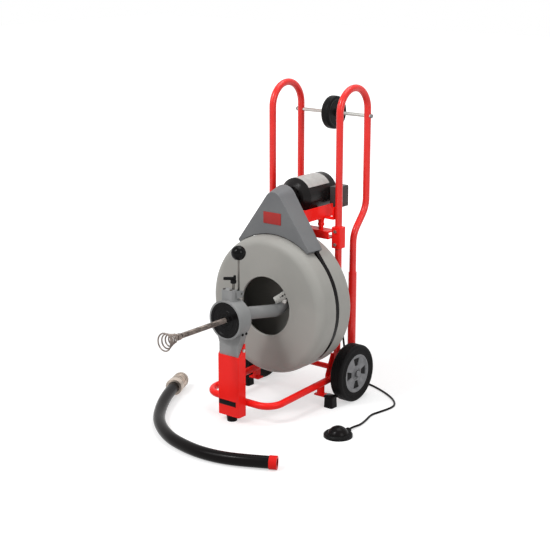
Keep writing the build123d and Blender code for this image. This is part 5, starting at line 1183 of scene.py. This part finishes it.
@dataclass
class FeedUnit(Assembly):
    """The selector's stem and handle and the saddle's latch pins, in millimetres."""

    stem: Point = (10.0, -306.0, 462.5)
    stem_radius: float = 5.0
    stem_top: float = 502.0
    hub_radius: float = 10.5
    hub_edge: float = 1.0
    hub_crown: float = 0.5
    arm_size: Point = (44.0, 9.5, 11.0)
    arm_edge: float = 3.5
    arm_turn: float = 38.0
    tip_height: float = 6.0
    tip_edge: float = 2.0
    pin_places: tuple[Point, ...] = ((52.0, -316.0, 328.0), (52.0, -296.0, 328.0))
    pin_radius: float = 5.0
    pin_length: float = 9.0
    pin_edge: float = 1.5

    def on_arm(self, reach: float, z: float) -> Point:
        """Place at a reach along the handle's arm and at a height."""
        turn = math.radians(self.arm_turn)
        return (self.stem[0] + reach * math.cos(turn), self.stem[1] + reach * math.sin(turn), z)

    def selector(self) -> None:
        """Makes the steel stem and, on it, the black handle with its upturned end."""
        x, y, low = self.stem
        length, width, height = self.arm_size
        radius, rise = self.stem_radius, self.stem_top - low
        stem = Bench.turned("selector_stem", [
            (0.0, 0.0), (0.0, radius), (rise, radius), (rise, 0.0),
        ], steps=48).put(self.stem)
        hub, edge, crown = self.hub_radius, self.hub_edge, self.hub_crown
        handle = Bench.turned("selector_grip", [
            (0.0, 0.0), (0.0, hub - edge), (edge, hub), (height - edge, hub),
            (height + crown, hub - edge - crown), (height + crown, 0.0),
        ], steps=48).put((x, y, self.stem_top))
        arm_z = self.stem_top + height
        arm = Bench.block("arm", self.arm_size, self.arm_edge, segments=5)
        arm.put(self.on_arm(width - length / 2.0, arm_z + height / 2.0), roll=math.radians(self.arm_turn))
        tip = Bench.turned("tip", rod(width / 2.0, -self.tip_edge, self.tip_height, self.tip_edge), steps=32)
        tip.put(self.on_arm(width / 2.0, arm_z + height))
        handle.absorb(arm, tip)
        self.dress(handle.piece, Slot.BLACK_PLASTIC, "selector", "selector_handle")
        self.dress(stem.piece, Slot.ZINC_STEEL, "selector", finish=DARK_STEEL)

    def pins(self) -> None:
        """Sets the two dark latch pins in the saddle's side."""
        profile = rod(self.pin_radius, 0.0, self.pin_length, self.pin_edge)
        pins = Bench.turned("latch_pins", profile, steps=32)
        pins.repeat(self.pin_places, (1.0, 0.0, 0.0))
        self.dress(pins.piece, Slot.BLACK_PLASTIC, "frame")

    def build(self) -> None:
        """Makes the selector and the pins."""
        self.selector()
        self.pins()


@dataclass
class Joints(Assembly):
    """The frame's weld beads, sleeves and foot caps and the foot switch's hose block, in millimetres."""

    bead: float = 1.8
    bead_sides: int = 10
    base_end: Point = (150.0, 98.0, 81.9)
    base_radius: float = 13.2
    axle_end: Point = (130.6, 122.6, 106.0)
    axle_radius: float = 10.8
    block_size: Point = (18.0, 15.0, 12.5)
    block_place: Point = (384.0, -142.5, 6.9)
    block_edge: float = 2.5
    sleeve_place: Point = (82.0, 99.0, 642.3)
    sleeve_radius: float = 12.0
    sleeve_waist: float = 10.5
    sleeve_length: float = 27.4
    sleeve_edge: float = 1.0
    sleeve_neck: tuple[float, float] = (8.22, 9.59)
    cap_size: Point = (39.6, 31.6, 8.8)
    cap_place: Point = (194.5, 14.0, 39.8)
    cap_edge: float = 1.4

    def welds(self) -> None:
        """Lays a bead round each end of the base tube and round the axle's tube at its plates."""
        beads = []
        for place, radius, axis in (
            (self.base_end, self.base_radius, (0.0, 1.0, 0.0)),
            (self.axle_end, self.axle_radius, (1.0, 0.0, 0.0)),
        ):
            ring = Bench(
                "weld_beads", bpy.ops.mesh.primitive_torus_add,
                major_radius=radius * MM, minor_radius=self.bead * MM, minor_segments=self.bead_sides,
            )
            beads.append(ring.repeat(pair(place), axis))
        beads[0].absorb(*beads[1:])
        self.dress(beads[0].piece, Slot.RED_PAINT, "frame")

    def sleeves(self) -> None:
        """Sets a waisted red sleeve on each tension screw."""
        sizes = (self.sleeve_radius, self.sleeve_waist, self.sleeve_length, self.sleeve_edge)
        sleeves = Bench.turned("tension_sleeves", waisted(*sizes, self.sleeve_neck), steps=48)
        self.dress(sleeves.repeat(pair(self.sleeve_place)).piece, Slot.RED_PAINT, "frame")

    def caps(self) -> None:
        """Sets a rubber cap on each rear foot."""
        caps = Bench.block("foot_caps", self.cap_size, self.cap_edge).repeat(pair(self.cap_place))
        self.dress(caps.piece, Slot.BLACK_RUBBER, "frame")

    def build(self) -> None:
        """Makes the welds, the sleeves, the caps and the block."""
        self.welds()
        self.sleeves()
        self.caps()
        block = Bench.block("hose_block", self.block_size, self.block_edge).put(self.block_place)
        self.dress(block.piece, Slot.BLACK_PLASTIC, "frame")


def dress_frame(frame: dict[str, Any]) -> None:
    """Gives every CAD node the finish of its slot in the record, and a few nodes a finish of their own.

    Args:
        frame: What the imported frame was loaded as.
    """
    finishes = {slot.slot: slot.value for slot in Slot}
    for row in frame["record"]["subparts"]:
        finish = NODE_FINISHES.get(row["node"], finishes[row["material_slot"]])
        piece = frame["nodes"][row["node"]]
        piece.data.materials.clear()
        piece.data.materials.append(finish.material())


def main() -> None:
    """Builds the sub-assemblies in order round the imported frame."""
    logging.basicConfig(level=logging.INFO)
    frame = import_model()
    Studio().build()
    dress_frame(frame)
    for assembly in (Hoses(), Cable(), Wheels(), Hubs(), Plates(), FeedUnit(), Joints()):
        assembly.build()


if __name__ == "__main__":
    main()
